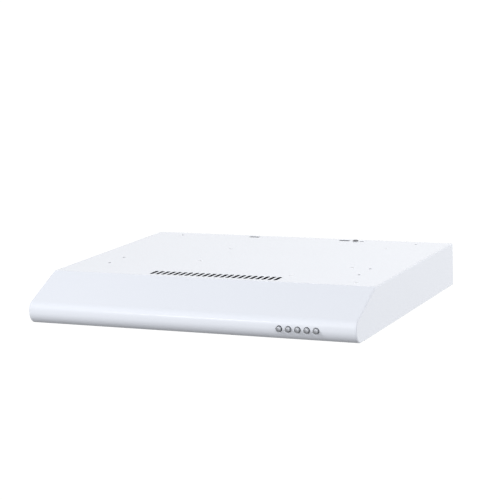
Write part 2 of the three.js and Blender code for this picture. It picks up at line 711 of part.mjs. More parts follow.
function filterFrame({ name, sign }) {
  const x = mirrored(FILTER.x, sign);
  const inset = (range, by) => [range[0] + by, range[1] - by];
  const blank = block(x, FILTER.y, FILTER.z);
  const window = block(inset(x, FILTER.border), inset(FILTER.y, FILTER.border), [0, 20]);
  const groove = block(inset(x, 7), inset(FILTER.y, 7), [3.2, 5.3]);
  const centre = sign * LATCH_X;
  const latchHouse = block([centre - 22, centre + 22], [FILTER.y[0] + 8, 186], FILTER.z);
  const pocketX = [centre - LATCH.half - GAP, centre + LATCH.half + GAP];
  const pocket = block(pocketX, [LATCH.y[0] - GAP, LATCH.pocketEnd], [0, 8.5]);
  const tongueSlot = block([centre - 11, centre + 11], [FILTER.y[0] - 1, LATCH.y[0]], [4, 8]);
  const tabs = [-90, 90].map((dx) =>
    block([centre + dx - 10, centre + dx + 10], [FILTER.y[1] - 4, FILTER.y[1] + 11], [1.5, 5.5]),
  );
  const frame = cut(join(cut(blank, window, groove), latchHouse, ...tabs), pocket, tongueSlot);
  add(`${name}_filter_frame`, frame, FINISH.aluminium);

  // The expanded metal pad in the frame's groove, cut back round the latch house.
  const pad = cut(
    block(inset(x, 7.3), inset(FILTER.y, 7.3), [3.5, 5]),
    block([centre - 22.3, centre + 22.3], [FILTER.y[0], 186.3], [0, 20]),
  );
  add(`${name}_filter_mesh`, pad, FINISH.aluminium);
}

// The sprung bolt that a finger pulls back to release the filter.
function filterLatch({ name, sign }) {
  const centre = sign * LATCH_X;
  const bolt = join(
    block([centre - LATCH.half, centre + LATCH.half], LATCH.y, [2, 8.2]),
    block([centre - 10.6, centre + 10.6], [LATCH.tip, LATCH.y[0] + 1], [4.4, 7.6]),
  );
  const finger = block([centre - 12, centre + 12], [LATCH.y[0] + 2, LATCH.y[1] - 2], [0, 6]);
  add(`${name}_filter_latch`, cut(bolt, finger), FINISH.blackPlastic);
  const span = [LATCH.y[1] + GAP, LATCH.pocketEnd - GAP];
  add(`${name}_latch_spring`, coilSpring([centre, 5], span, 2.6, 0.4, 4), FINISH.zincSteel);
}

// The carbon pad on the back of a filter, and the bent wire that holds it there.
function carbonPad({ name, sign }) {
  const x = [20, 264];
  const top = FILTER.z[1];
  add(`${name}_carbon_pad`, block(mirrored(x, sign), [192, 468], [top + GAP, top + 5]), FINISH.carbon);
  const thick = 2;
  const high = [top + 5 + GAP, top + 5 + GAP + thick];
  const y = [235, 425];
  const bars = y.map((at) => block(mirrored([x[0] - 3, x[1] + 3], sign), [at, at + thick], high));
  const legs = y.flatMap((at) =>
    [x[0] - 3, x[1] + 1].map((leg) =>
      block(mirrored([leg, leg + thick], sign), [at, at + thick], [top + GAP, high[1]]),
    ),
  );
  const spine = block(mirrored([x[1] - 6, x[1] - 6 + thick], sign), y, high);
  add(`${name}_pad_wire`, join(...bars, ...legs, spine), FINISH.zincSteel);
}

// ---- Build --------------------------------------------------------------------------------------

topFrontSkin();
SIDES.forEach(sidePanel);
rearPanel();
frontTray();
rearFilterRail();
centreRib();
topScrews();

fanVolute();
fanInletPlate();
inletGuard();
motorBracket();
motor();
motorShaft();
fanWheel();
wheelNut();
outletPlenum();

capacitor();
terminalBox();
cableGland();
wiringLoom();
switchBlock();
buttonPlaces().forEach((x, i) => pushButton(BUTTON_NAMES[i], x));
SIDES.forEach(lamp);

SIDES.forEach(filterFrame);
SIDES.forEach(filterLatch);
SIDES.forEach(carbonPad);

export default hood;
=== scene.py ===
"""An under cabinet range hood in white enamel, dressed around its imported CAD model.

Pieces are drawn in millimetres, as on a workshop drawing: X across the hood, Y from the nose at 0 to the
wall side, Z from the lower edge at 0 to the top plate. place() turns that into metres in the row frame.
"""

import json
import math
from contextlib import contextmanager
from math import cos, pi, radians, sin

import bmesh
import bpy
import numpy as np
from mathutils import Matrix, Vector
from mathutils.geometry import delaunay_2d_cdt
from numpy import column_stack


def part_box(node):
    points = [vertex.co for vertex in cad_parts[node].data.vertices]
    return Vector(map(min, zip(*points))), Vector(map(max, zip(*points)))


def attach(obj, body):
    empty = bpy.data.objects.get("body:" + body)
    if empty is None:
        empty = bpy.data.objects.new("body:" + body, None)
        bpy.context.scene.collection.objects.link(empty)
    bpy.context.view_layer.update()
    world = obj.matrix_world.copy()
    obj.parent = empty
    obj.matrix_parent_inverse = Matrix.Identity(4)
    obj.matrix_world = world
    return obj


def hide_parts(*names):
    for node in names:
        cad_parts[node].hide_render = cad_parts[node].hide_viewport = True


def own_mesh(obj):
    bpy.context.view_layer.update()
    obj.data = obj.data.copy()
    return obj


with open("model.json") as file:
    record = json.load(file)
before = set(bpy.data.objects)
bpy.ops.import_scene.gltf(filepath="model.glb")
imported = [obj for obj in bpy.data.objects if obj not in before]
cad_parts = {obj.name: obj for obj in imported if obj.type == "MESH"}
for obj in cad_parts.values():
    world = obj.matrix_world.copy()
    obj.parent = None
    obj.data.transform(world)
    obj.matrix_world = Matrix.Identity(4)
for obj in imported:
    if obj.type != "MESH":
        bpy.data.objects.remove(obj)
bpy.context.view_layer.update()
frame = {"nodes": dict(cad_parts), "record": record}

# ---- Driving dimensions, in millimetres ----

MM = 0.001
PANEL_LOW, PANEL_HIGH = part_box("right_side_panel")
HALF_WIDTH = PANEL_HIGH.x / MM
DEPTH = (PANEL_HIGH.y - PANEL_LOW.y) / MM
HEIGHT = (PANEL_HIGH.z - PANEL_LOW.z) / MM
DRAWING_ORIGIN = np.array((0.0, PANEL_LOW.y, PANEL_LOW.z))

SHEET = 0.8
SKIN_SHEET = 0.55  # drawn thinner over the nose and the top
EDGE = 0.22  # rounding of a punched or sheared edge
SEAM = 0.05  # between painted panels that meet
FOLD_Y = 94.0
FOLD_RADIUS = 3.0
NOSE_RADIUS = 20.5
NOSE_STEPS = 22  # facets of each half of the nose
FOLD_STEPS = 8
BEND_STEPS = 6
COIL_STEPS = 20  # to a turn
NOSE_TOP = (11.6, 40.0)
NOSE_PULL = ((0.0, 33.5), (4.2, 36.7))
LIP_END_Y = 34.0
SIDE_BEND = 2.4  # rolled edge between a side panel and the top

SLOT_COUNT = 22
SLOT_PITCH = 11.05
SLOT_WIDTH = 6.8
SLOT_Y = (105.2, 135.0)
CABINET_HOLES_Y = (184.0, 239.0, 484.0)
CABINET_HOLE_X = 238.0
CABINET_HOLE_RADIUS = 2.6
REAR_SLOTS_X = ((-100.0, -80.0), (84.0, 104.5))
REAR_SLOT_Y = (489.5, 499.5)
TIE_SLOT_X = (124.0, 134.0)
TIE_SLOT_Y = (489.6, 494.7)
CABLE_AT = (116.0, 494.0)
CABLE_HOLE_RADIUS = 5.5
SCREW_HOLE_RADIUS = 3.8
SCREW_HEAD_RADIUS = 3.66
SCREWS = {
    "fan_screw_front_left": (-84.0, 239.0),
    "fan_screw_rear_left": (-82.0, 364.0),
    "fan_screw_front_right": (129.0, 150.0),
    "capacitor_screw": (204.0, 243.0),
    "terminal_box_screw": (199.0, 432.0),
    "loom_clip_screw": (256.0, 119.0),
}

BUTTON_NAMES = ("off", "speed_1", "speed_2", "speed_3", "lamp")
BUTTON_PITCH = 16.1
BUTTON_MIDDLE_X = 198.9
BUTTON_Z = 19.9
BUTTON_RADIUS = 4.7
BUTTON_HOLE_RADIUS = 5.4
BUTTON_PROUD = 4.6
BUTTON_BACK = 5.0
STEM_RADIUS = 2.2
STEM_END = 17.5
SWITCH_FACE_Y = 12.0

TRAY_BACK_Y = 150.0
TRAY_WALL = 20.0
LENS_X = (95.0, 205.0)
LENS_Y = (84.0, 136.0)
BULB_AT = (110.0, 19.0)
BULB_TIP_X = 118.0

FILTER_X = (1.0, 283.5)
FILTER_Y = (152.0, 488.0)
FILTER_Z = (1.5, 10.5)
FILTER_BORDER = 12.0
LATCH_X = 142.25
LATCH_Y = (158.3, 171.0)
LATCH_HALF = 16.5
LATCH_POCKET_END = 182.0

FAN_AT = (0.0, 301.5)
WHEEL_RADIUS = 75.0
WHEEL_INNER = 60.0
WHEEL_Z = (28.0, 70.0)
WHEEL_BLADES = 24
MOTOR_RADIUS = 38.0
MOTOR_Z = (26.3, 60.0)
GUARD_RINGS = (18.0, 41.0, 64.0)
GUARD_Z = 20.0

CAPACITOR_AT = (180.0, 243.0, 56.0)
LOOM_ROUTE = (
    (232, 40, 24), (236, 50, 26), (250, 78, 44), (255, 99, 62), (255, 119, 66), (253, 159, 67),
    (248, 250, 66), (248, 340, 64), (247, 400, 61), (244, 430, 60), (239, 438, 60), (233, 438, 60),
)

SIDES = (("left", -1), ("right", 1))
ENAMEL_COLOUR = (0.785, 0.815, 0.885)


def place(points):
    """Drawing millimetres to metres in the row frame."""
    return np.asarray(points, float) * MM + DRAWING_ORIGIN


def add_object(name, data):
    obj = bpy.data.objects.new(name, data)
    bpy.context.scene.collection.objects.link(obj)
    return obj


# ---- Camera, floor and light ----

CAMERA_PLACE = (1.26029, -2.88197, 0.56494)
CAMERA_AZIMUTH = 24.103
CAMERA_ELEVATION = 10.055
CAMERA_ROLL = -1.952
CAMERA_LENS = 126.8
CAMERA_SENSOR = 36.0
FLOOR_DROP = 0.62
FLOOR_HALF = 60.0
WHITE = (1, 1, 1, 1)
BACKDROP_GLOW = 1.05
LIGHT_TARGET = (0.05, -0.33, -0.05)
SOFTBOX_FROM = (-1.24, -2.95, 0.845)
SOFTBOX_SIZE = (0.62, 0.26)
SOFTBOX_POWER = 3.6
STUDIO = (
    ((0, 0.3, 0.95), 6, 0.15),
    ((0, -0.87, 0.5), 6, 1.79),
    ((0, -1, 0), 8, 0.56),
    ((1, 0, -0.1), 4, 1.31),
    ((0.6, 0.8, -0.1), 4, 0.72),
    ((0, 0.9, 0.3), 4, 1.26),
    ((-1, 0.25, 0), 4, 0.75),
)
FLAG = ((0.95, 0.05, -0.35), 4, 0.95)  # a dark card at the lower right, for reflections only
KEY_FROM = (-3.16, -3.04, 2.66)
KEY_SIZE = 0.86
KEY_POWER = 101.0


def make_camera():
    azimuth, elevation, roll = map(radians, (CAMERA_AZIMUTH, CAMERA_ELEVATION, CAMERA_ROLL))
    back = Vector((sin(azimuth) * cos(elevation), -cos(azimuth) * cos(elevation), sin(elevation)))
    level_right = Vector((0, 0, 1)).cross(back).normalized()
    level_up = back.cross(level_right)
    right = level_right * cos(roll) + level_up * sin(roll)
    up = back.cross(right)
    data = bpy.data.cameras.new("camera")
    data.lens = CAMERA_LENS
    data.sensor_width = CAMERA_SENSOR
    data.clip_end = 200
    camera = add_object("camera", data)
    turn = Matrix((right, up, back)).transposed().to_4x4()
    camera.matrix_world = Matrix.Translation(CAMERA_PLACE) @ turn
    bpy.context.scene.camera = camera


def softbox(name, place_at, size, power):
    data = bpy.data.lights.new(name, "AREA")
    data.shape = "RECTANGLE"
    data.size, data.size_y = size
    data.energy = power
    light = add_object(name, data)
    direction = Vector(LIGHT_TARGET) - Vector(place_at)
    turn = direction.to_track_quat("-Z", "Y").to_matrix().to_4x4()
    light.matrix_world = Matrix.Translation(place_at) @ turn
    return light


def make_lights():
    softbox("front_softbox", SOFTBOX_FROM, SOFTBOX_SIZE, SOFTBOX_POWER)
    key = softbox("upper_left_key", KEY_FROM, (KEY_SIZE, KEY_SIZE), KEY_POWER)
    key.visible_glossy = False


def feed(tree, node, sockets):
    """Gives a node's inputs, by name or number, a constant each or the output that drives them."""
    for socket, value in sockets.items():
        if isinstance(value, bpy.types.NodeSocket):
            tree.links.new(value, node.inputs[socket])
        else:
            node.inputs[socket].default_value = value


def add_node(tree, kind, sockets=None, **settings):
    node = tree.nodes.new(f"ShaderNode{kind}")
    for name, value in settings.items():
        setattr(node, name, value)
    feed(tree, node, sockets or {})
    return node


def maths(tree, operation, *values):
    return add_node(tree, "Math", dict(enumerate(values)), operation=operation).outputs[0]


def lobe(tree, coordinates, direction, sharpness):
    """1 in one direction of the sky, and a soft fall towards 0 away from it."""
    sockets = {0: coordinates, 1: Vector(direction).normalized()}
    along = add_node(tree, "VectorMath", sockets, operation="DOT_PRODUCT")
    fall = maths(tree, "MULTIPLY_ADD", along.outputs["Value"], sharpness, -sharpness)
    return maths(tree, "EXPONENT", fall)


def empty_tree(owner):
    owner.use_nodes = True
    owner.node_tree.nodes.clear()
    return owner.node_tree


def make_world():
    """White to the eye; to the hood's surfaces, a studio of soft lights, each a lobe round its direction."""
    world = bpy.data.worlds.new("studio")
    bpy.context.scene.world = world
    tree = empty_tree(world)
    coordinates = add_node(tree, "TexCoord").outputs["Generated"]
    path = add_node(tree, "LightPath").outputs
    total = 0.0
    for direction, sharpness, level in STUDIO:
        total = maths(tree, "MULTIPLY_ADD", lobe(tree, coordinates, direction, sharpness), level, total)
    direction, sharpness, level = FLAG
    hidden = maths(tree, "MULTIPLY", lobe(tree, coordinates, direction, sharpness), -level)
    kept = maths(tree, "MULTIPLY_ADD", hidden, path["Is Glossy Ray"], 1.0)
    room = add_node(tree, "Background", {"Color": WHITE, "Strength": maths(tree, "MULTIPLY", total, kept)})
    seen = add_node(tree, "Background", {"Color": WHITE, "Strength": BACKDROP_GLOW})
    sockets = {"Fac": path["Is Camera Ray"], 1: room.outputs[0], 2: seen.outputs[0]}
    mix = add_node(tree, "MixShader", sockets)
    add_node(tree, "OutputWorld", {"Surface": mix.outputs[0]})


def make_floor():
    z = PANEL_LOW.z - FLOOR_DROP
    mesh = bpy.data.meshes.new("floor")
    corners = [(x * FLOOR_HALF, y * FLOOR_HALF, z) for x, y in ((-1, -1), (1, -1), (1, 1), (-1, 1))]
    mesh.from_pydata(corners, [], [(0, 1, 2, 3)])
    floor = add_object("floor", mesh)
    material = bpy.data.materials.new("pale_floor")
    tree = empty_tree(material)
    glow = add_node(tree, "Emission", {"Color": WHITE, "Strength": BACKDROP_GLOW})
    add_node(tree, "OutputMaterial", {"Surface": glow.outputs[0]})
    mesh.materials.append(material)
    floor.visible_diffuse = floor.visible_glossy = floor.visible_shadow = False


# ---- Materials ----

NOISE_SPAN = (0.3, 0.7)  # where nearly all of a noise's values lie
PORE_SIZE = 0.0034  # metres


def new_material(name):
    material = bpy.data.materials.new(name)
    material.use_nodes = True
    return material, material.node_tree, material.node_tree.nodes["Principled BSDF"]


def noise(tree, scale, detail, stretch=(1, 1, 1)):
    """Noise on the object's own coordinates, which are metres, so scale is in lumps per metre."""
    coordinates = add_node(tree, "TexCoord").outputs["Object"]
    mapping = add_node(tree, "Mapping", {"Vector": coordinates, "Scale": stretch})
    sockets = {"Vector": mapping.outputs["Vector"], "Scale": scale, "Detail": detail}
    return add_node(tree, "TexNoise", sockets).outputs["Fac"]


def ranged(tree, value, low, high):
    """A noise spread over low to high."""
    start, end = NOISE_SPAN
    sockets = {"Value": value, "From Min": start, "From Max": end, "To Min": low, "To Max": high}
    return add_node(tree, "MapRange", sockets).outputs["Result"]


def tinted(tree, value, low, high, span=NOISE_SPAN):
    """A value as a colour between low and high, at the two ends of span."""
    ramp = add_node(tree, "ValToRGB", {"Fac": value})
    for element, at, colour in zip(ramp.color_ramp.elements, span, (low, high)):
        element.position = at
        element.color = (*colour, 1)
    return ramp.outputs["Color"]


def bumped(tree, value, distance):
    return add_node(tree, "Bump", {"Height": value, "Distance": distance}).outputs["Normal"]


def shaded(tree, broad, colour, vary):
    """A colour that varies a little, up and down."""
    low, high = (tuple(min(1.0, c * factor) for c in colour) for factor in (1 - vary, 1 + vary))
    return tinted(tree, broad, low, high)


def plain_finish(name, colour, roughness, metallic, grain, grain_depth, vary, stretch=(1, 1, 1)):
    """A finish whose tone, gloss and surface all vary a little."""
    material, tree, shader = new_material(name)
    fine = noise(tree, grain, 3, stretch)
    feed(tree, shader, {
        "Base Color": shaded(tree, noise(tree, 14, 4), colour, vary),
        "Roughness": ranged(tree, fine, roughness * 0.85, roughness * 1.15),
        "Metallic": metallic,
        "IOR": 1.5,
        "Normal": bumped(tree, fine, grain_depth),
    })
    return material


def white_enamel():
    """Gloss stove enamel on steel, with the faint orange peel of a sprayed coat."""
    material, tree, shader = new_material("white_enamel")
    peel = noise(tree, 260, 2)
    feed(tree, shader, {
        "Base Color": shaded(tree, noise(tree, 6, 3), ENAMEL_COLOUR, 0.005),
        "Roughness": ranged(tree, peel, 0.17, 0.21),
        "IOR": 1.5,
        "Normal": bumped(tree, peel, 0.000006),
    })
    return material


def carbon_foam():
    """Open foam loaded with carbon dust: paler walls, each pore painted darker towards its middle as painted
    shade in the hole, and patches with more dust.
    """
    material, tree, shader = new_material("carbon_foam")
    coordinates = add_node(tree, "TexCoord").outputs["Object"]
    cells = add_node(tree, "TexVoronoi", {"Vector": coordinates, "Scale": 1 / PORE_SIZE})
    pores = cells.outputs["Distance"]  # 0 in the middle of a pore, about 0.6 on its walls
    patches = noise(tree, 30, 4)
    # painted shade: the colour darkens towards the middle of each pore, where shade falls into the hole, and is
    # paler on the walls
    walls = tinted(tree, pores, (0.012, 0.012, 0.013), (0.085, 0.087, 0.092), (0.2, 0.75))
    dust = tinted(tree, patches, (0.6, 0.6, 0.6), (1, 1, 1))
    mix = add_node(tree, "Mix", data_type="RGBA", blend_type="MULTIPLY")
    feed(tree, mix, {"Factor": 1.0, "A": walls, "B": dust})
    feed(tree, shader, {
        "Base Color": mix.outputs["Result"],
        "Roughness": ranged(tree, patches, 0.8, 0.95),
        "Normal": bumped(tree, pores, 0.0012),
    })
    return material


# slot or finish: name, colour, roughness, metallic, grain per metre, grain depth, variation, stretch
PLAIN_FINISHES = {
    "galvanised": ("galvanised_sheet", (0.62, 0.64, 0.66), 0.38, 1.0, 160, 0.00001, 0.12),
    "satin_chrome": ("satin_chrome", (0.6, 0.62, 0.67), 0.3, 1.0, 1500, 0.000003, 0.03),
    "chrome": ("chrome_plate", (0.55, 0.56, 0.58), 0.1, 1.0, 1500, 0.000002, 0.01),
    "aluminium": ("mill_aluminium", (0.75, 0.76, 0.78), 0.32, 1.0, 500, 0.00001, 0.05, (1, 12, 1)),
    "black_plastic": ("black_moulding", (0.028, 0.028, 0.031), 0.5, 0, 2600, 0.00003, 0.2),
    "grey_plastic": ("grey_moulding", (0.30, 0.32, 0.34), 0.45, 0, 1800, 0.00003, 0.08),
    "white_plastic": ("white_moulding", (0.82, 0.82, 0.80), 0.35, 0, 1500, 0.00001, 0.02),
    "wire_sleeve": ("wire_sleeve", (0.72, 0.72, 0.70), 0.55, 0, 900, 0.0001, 0.06),
    "frosted_lens": ("frosted_lens", (0.86, 0.89, 0.90), 0.4, 0, 1200, 0.00005, 0.02),
    "lamp_glass": ("lamp_glass", (0.92, 0.92, 0.90), 0.08, 0, 200, 0.000002, 0.02),
    "brown_wire": ("brown_wire", (0.16, 0.07, 0.035), 0.45, 0, 900, 0.0001, 0.06),
    "blue_wire": ("blue_wire", (0.05, 0.13, 0.36), 0.45, 0, 900, 0.0001, 0.06),
    "rubber": ("grey_rubber", (0.21, 0.21, 0.22), 0.62, 0, 1400, 0.00003, 0.2),
    "zinc_steel": ("zinc_plated_steel", (0.80, 0.81, 0.83), 0.3, 1.0, 700, 0.000008, 0.06),
}
FINISHES = {finish: plain_finish(*values) for finish, values in PLAIN_FINISHES.items()}
FINISHES["white_paint"] = white_enamel()
FINISHES["carbon_foam"] = carbon_foam()

# ---- Mesh helpers ----

SLOT_OF = {s["node"]: s["material_slot"] for s in frame["record"]["subparts"]}
BODY_OF = {node: body for body, nodes in frame["record"]["behaviour"]["bodies"].items() for node in nodes}


def extra(obj, node, finish):
    """A further piece on the same body as a CAD node, with a finish of its own."""
    obj.data.materials.append(FINISHES[finish])
    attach(obj, BODY_OF[node])


def dress(obj, node):
    """Makes obj the visible form of a CAD node: its body, its slot and its finish."""
    extra(obj, node, SLOT_OF[node])
    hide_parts(node)


def mesh_object(name, points, faces, normals=None):
    """points in drawing millimetres. normals, if given, is one vector for each corner of each face."""
    mesh = bpy.data.meshes.new(name)
    mesh.from_pydata([tuple(p) for p in place(points)], [], [tuple(f) for f in faces])
    mesh.shade_smooth()
    if normals is not None:
        mesh.normals_split_custom_set([tuple(n) for n in normals])
    return add_object(name, mesh)


@contextmanager
def edited(obj):
    """The object's mesh as a bmesh, which is written back at the end."""
    bm = bmesh.new()
    bm.from_mesh(obj.data)
    yield bm
    bm.to_mesh(obj.data)
    bm.free()


def creased(obj, degrees=32):
    """Smooth shading, apart from edges that turn more than this."""
    with edited(obj) as bm:
        bmesh.ops.recalc_face_normals(bm, faces=bm.faces)
        for edge in bm.edges:
            edge.smooth = edge.calc_face_angle(0) < radians(degrees)
        for face in bm.faces:
            face.smooth = True
    return obj


def applied(obj):
    """The object with its modifiers made real."""
    graph = bpy.context.evaluated_depsgraph_get()
    graph.update()
    mesh = bpy.data.meshes.new_from_object(obj.evaluated_get(graph))
    obj.modifiers.clear()
    obj.data = mesh
    return obj


def softened(obj, width, segments):
    """Rounds an object's hard edges, as a moulding or a pressing has them."""
    with edited(obj) as bm:
        bmesh.ops.remove_doubles(bm, verts=bm.verts, dist=2e-6)
        bmesh.ops.dissolve_limit(bm, angle_limit=radians(1), verts=bm.verts, edges=bm.edges)
        for face in bm.faces:
            face.smooth = True
    bevel = obj.modifiers.new("rounded_edges", "BEVEL")
    bevel.width = width * MM
    bevel.segments = segments
    bevel.limit_method = "ANGLE"
    bevel.angle_limit = radians(32)
    bevel.harden_normals = True
    bevel.use_clamp_overlap = True
    return applied(obj)


def from_cad(node, name, width, segments=2):
    """A copy of a CAD node with its hard edges rounded, which takes the node's place."""
    source = frame["nodes"][node]
    obj = add_object(name, source.data.copy())
    obj.data.materials.clear()
    obj.data.transform(source.matrix_world)
    dress(softened(obj, width, segments), node)


# ---- Outlines ----


def circle(at, radius, count=28):
    turn = np.arange(count) * 2 * pi / count
    return column_stack((at[0] + radius * np.cos(turn), at[1] + radius * np.sin(turn)))


def arc(centre, radius, start, end, steps):
    turn = np.radians(np.linspace(start, end, steps + 1))
    return column_stack((centre[0] + radius * np.cos(turn), centre[1] + radius * np.sin(turn)))


def rounded_box(x, y, radius, steps=5):
    """A rectangle with round corners, counter-clockwise."""
    corners = ((x[1], y[1], 0), (x[0], y[1], 90), (x[0], y[0], 180), (x[1], y[0], 270))
    inset = [(cx - math.copysign(radius, cx - sum(x) / 2), cy - math.copysign(radius, cy - sum(y) / 2), start)
             for cx, cy, start in corners]
    return np.vstack([arc((cx, cy), radius, start, start + 90, steps) for cx, cy, start in inset])


def normalised(rows):
    return rows / np.linalg.norm(rows, axis=1)[:, None]


def left_of(steps):
    """Unit vectors on the left of 2-D steps."""
    steps = normalised(np.atleast_2d(steps))
    return column_stack((-steps[:, 1], steps[:, 0]))


def bent_path(corners, radius):
    """An open path with round bends, and the exact normals on its left."""
    corners = [np.array(c, float) for c in corners]
    points = [corners[0]]
    normals = [left_of(corners[1] - corners[0])[0]]
    for before, corner, after in zip(corners, corners[1:], corners[2:]):
        n0, n1 = left_of(corner - before)[0], left_of(after - corner)[0]
        turn = n0[0] * n1[1] - n0[1] * n1[0]
        middle = corner - math.copysign(radius, -turn) * (n0 + n1) / (1 + n0 @ n1)
        for t in np.linspace(0, 1, BEND_STEPS + 1):
            n = n0 * (1 - t) + n1 * t
            n /= np.linalg.norm(n)
            points.append(middle + math.copysign(radius, -turn) * n)
            normals.append(n)
    points.append(corners[-1])
    normals.append(left_of(corners[-1] - corners[-2])[0])
    return np.array(points), np.array(normals)


def distances(path):
    """How far along a path each of its points lies."""
    return np.concatenate(([0], np.cumsum(np.linalg.norm(np.diff(path, axis=0), axis=1))))


def casing_profile():
    """[y, z] points and outward normals from the foot of the nose, over the slope, to the flat top."""
    lower = arc((NOSE_RADIUS, NOSE_RADIUS), NOSE_RADIUS, 270, 180, NOSE_STEPS)
    lower_normals = (lower - NOSE_RADIUS) / NOSE_RADIUS
    handles = [np.array(p) for p in ((0.0, NOSE_RADIUS), *NOSE_PULL, NOSE_TOP)]
    t = np.linspace(0, 1, NOSE_STEPS + 1)[1:, None]
    weights = ((1 - t) ** 3, 3 * t * (1 - t) ** 2, 3 * t**2 * (1 - t), t**3)
    upper = sum(w * p for w, p in zip(weights, handles))
    slopes = ((1 - t) ** 2, 2 * t * (1 - t), t**2)
    upper_steps = sum(w * (b - a) for w, a, b in zip(slopes, handles, handles[1:]))
    slope = (FOLD_Y - NOSE_TOP[0], HEIGHT - NOSE_TOP[1])
    lean = math.degrees(math.atan2(slope[1], slope[0]))
    reach = FOLD_RADIUS * math.tan(radians(lean) / 2)
    centre = np.array((FOLD_Y + reach, HEIGHT - FOLD_RADIUS))
    fold = arc(centre, FOLD_RADIUS, 90 + lean, 90, FOLD_STEPS)
    points = np.vstack((lower, upper, fold))
    normals = np.vstack((lower_normals, left_of(upper_steps), (fold - centre) / FOLD_RADIUS))
    return points, normals


# ---- Sheet metal ----


def contains(loop, points):
    """Which points lie inside a closed loop."""
    loop = np.asarray(loop)
    following = np.roll(loop, -1, axis=0)
    inside = np.zeros(len(points), bool)
    for (ax, ay), (bx, by) in zip(loop, following):
        if ay == by:
            continue
        crosses = (ay > points[:, 1]) != (by > points[:, 1])
        inside ^= crosses & (points[:, 0] < (bx - ax) * (points[:, 1] - ay) / (by - ay) + ax)
    return inside


def triangulated(border, holes=(), lines=()):
    """Points and triangles of the region inside border and outside holes, cut along lines."""
    points, edges = [], []
    for loop in (border, *holes):
        first = len(points)
        points.extend(Vector(p) for p in loop)
        edges.extend((first + i, first + (i + 1) % len(loop)) for i in range(len(loop)))
    for a, b in lines:
        points.extend((Vector(a), Vector(b)))
        edges.append((len(points) - 2, len(points) - 1))
    found, _, faces, *_ = delaunay_2d_cdt(points, edges, [], 0, 1e-5)
    found = np.array([tuple(p) for p in found])
    middles = np.array([found[list(f)].mean(axis=0) for f in faces])
    inside = contains(border, middles)
    for hole in holes:
        inside &= ~contains(hole, middles)
    return found, [tuple(f) for f, keep in zip(faces, inside) if keep]


def boundary_loops(faces):
    """The open edges of a triangulation as closed loops, with the faces on their left."""
    half_edges = {(f[i], f[(i + 1) % 3]) for f in faces for i in range(3)}
    following = {a: b for a, b in sorted(half_edges) if (b, a) not in half_edges}
    loops = []
    while following:
        start = next(iter(following))
        loop = [start]
        while following[loop[-1]] != start:
            loop.append(following[loop[-1]])
        for index in loop:
            del following[index]
        loops.append(loop)
    return loops


def outward(loop):
    """Mitred normals on the right of a closed loop of points."""
    loop = np.asarray(loop)
    before = loop - np.roll(loop, 1, axis=0)
    after = np.roll(loop, -1, axis=0) - loop
    a, b = -left_of(before), -left_of(after)
    return (a + b) / np.maximum(1 + (a * b).sum(axis=1), 0.4)[:, None]


def grown(loop, by):
    """A counter-clockwise loop pushed outward."""
    return np.asarray(loop) + outward(loop) * by


class Shell:
    """Collects faces whose every corner has its own exact normal."""

    def __init__(self):
        self.points, self.faces, self.normals = [], [], []

    def add(self, places):
        first = len(self.points)
        self.points.extend(np.asarray(places, float))
        return list(range(first, len(self.points)))

    def cap(self, ids, faces, normals, flip=False):
        for face in faces:
            corners = tuple(reversed(face)) if flip else face
            self.faces.append([ids[i] for i in corners])
            self.normals.extend(normals[i] for i in corners)

    def strip(self, ring, next_ring, normals, next_normals):
        count = len(ring)
        for i in range(count):
            j = (i + 1) % count
            self.faces.append([ring[i], next_ring[i], next_ring[j], ring[j]])
            self.normals.extend((normals[i], next_normals[i], next_normals[j], normals[j]))

    def build(self, name, mirror=False):
        points, normals = np.array(self.points), np.array(self.normals)
        faces = self.faces
        if mirror:
            points = points * (-1, 1, 1)
            faces = [list(reversed(f)) for f in faces]
            sizes = [len(f) for f in faces]
            starts = np.concatenate(([0], np.cumsum(sizes)))
            order = np.concatenate([np.arange(b - 1, a - 1, -1) for a, b in zip(starts, starts[1:])])
            normals = normals[order] * (-1, 1, 1)
        return mesh_object(name, points, faces, normals)


def sheet_shell(shell, flat, faces, wrap, frame_at, thickness):
    """The outer and inner faces of a wrapped flat layout, its round edges and the walls between."""
    along, across, normal = frame_at(flat)
    outer = shell.add(wrap(flat, 0))
    shell.cap(outer, faces, normal)
    pushed = flat.copy()
    rims = []
    for loop in boundary_loops(faces):
        away = outward(flat[loop])
        pushed[loop] += away * EDGE
        rims.append((loop, away))
    inner = shell.add(wrap(pushed, thickness))
    shell.cap(inner, faces, -normal, flip=True)
    for loop, away in rims:
        facing = normalised(away)
        side = facing[:, :1] * along[loop] + facing[:, 1:] * across[loop]
        ring, ring_normals = [outer[i] for i in loop], normal[loop]
        for angle in np.linspace(0, pi / 2, 4)[1:]:
            reach, depth = EDGE * sin(angle), EDGE * (1 - cos(angle))
            next_ring = shell.add(wrap(flat[loop] + away * reach, depth))
            next_normals = normal[loop] * cos(angle) + side * sin(angle)
            shell.strip(ring, next_ring, ring_normals, next_normals)
            ring, ring_normals = next_ring, next_normals
        shell.strip(ring, [inner[i] for i in loop], side, side)


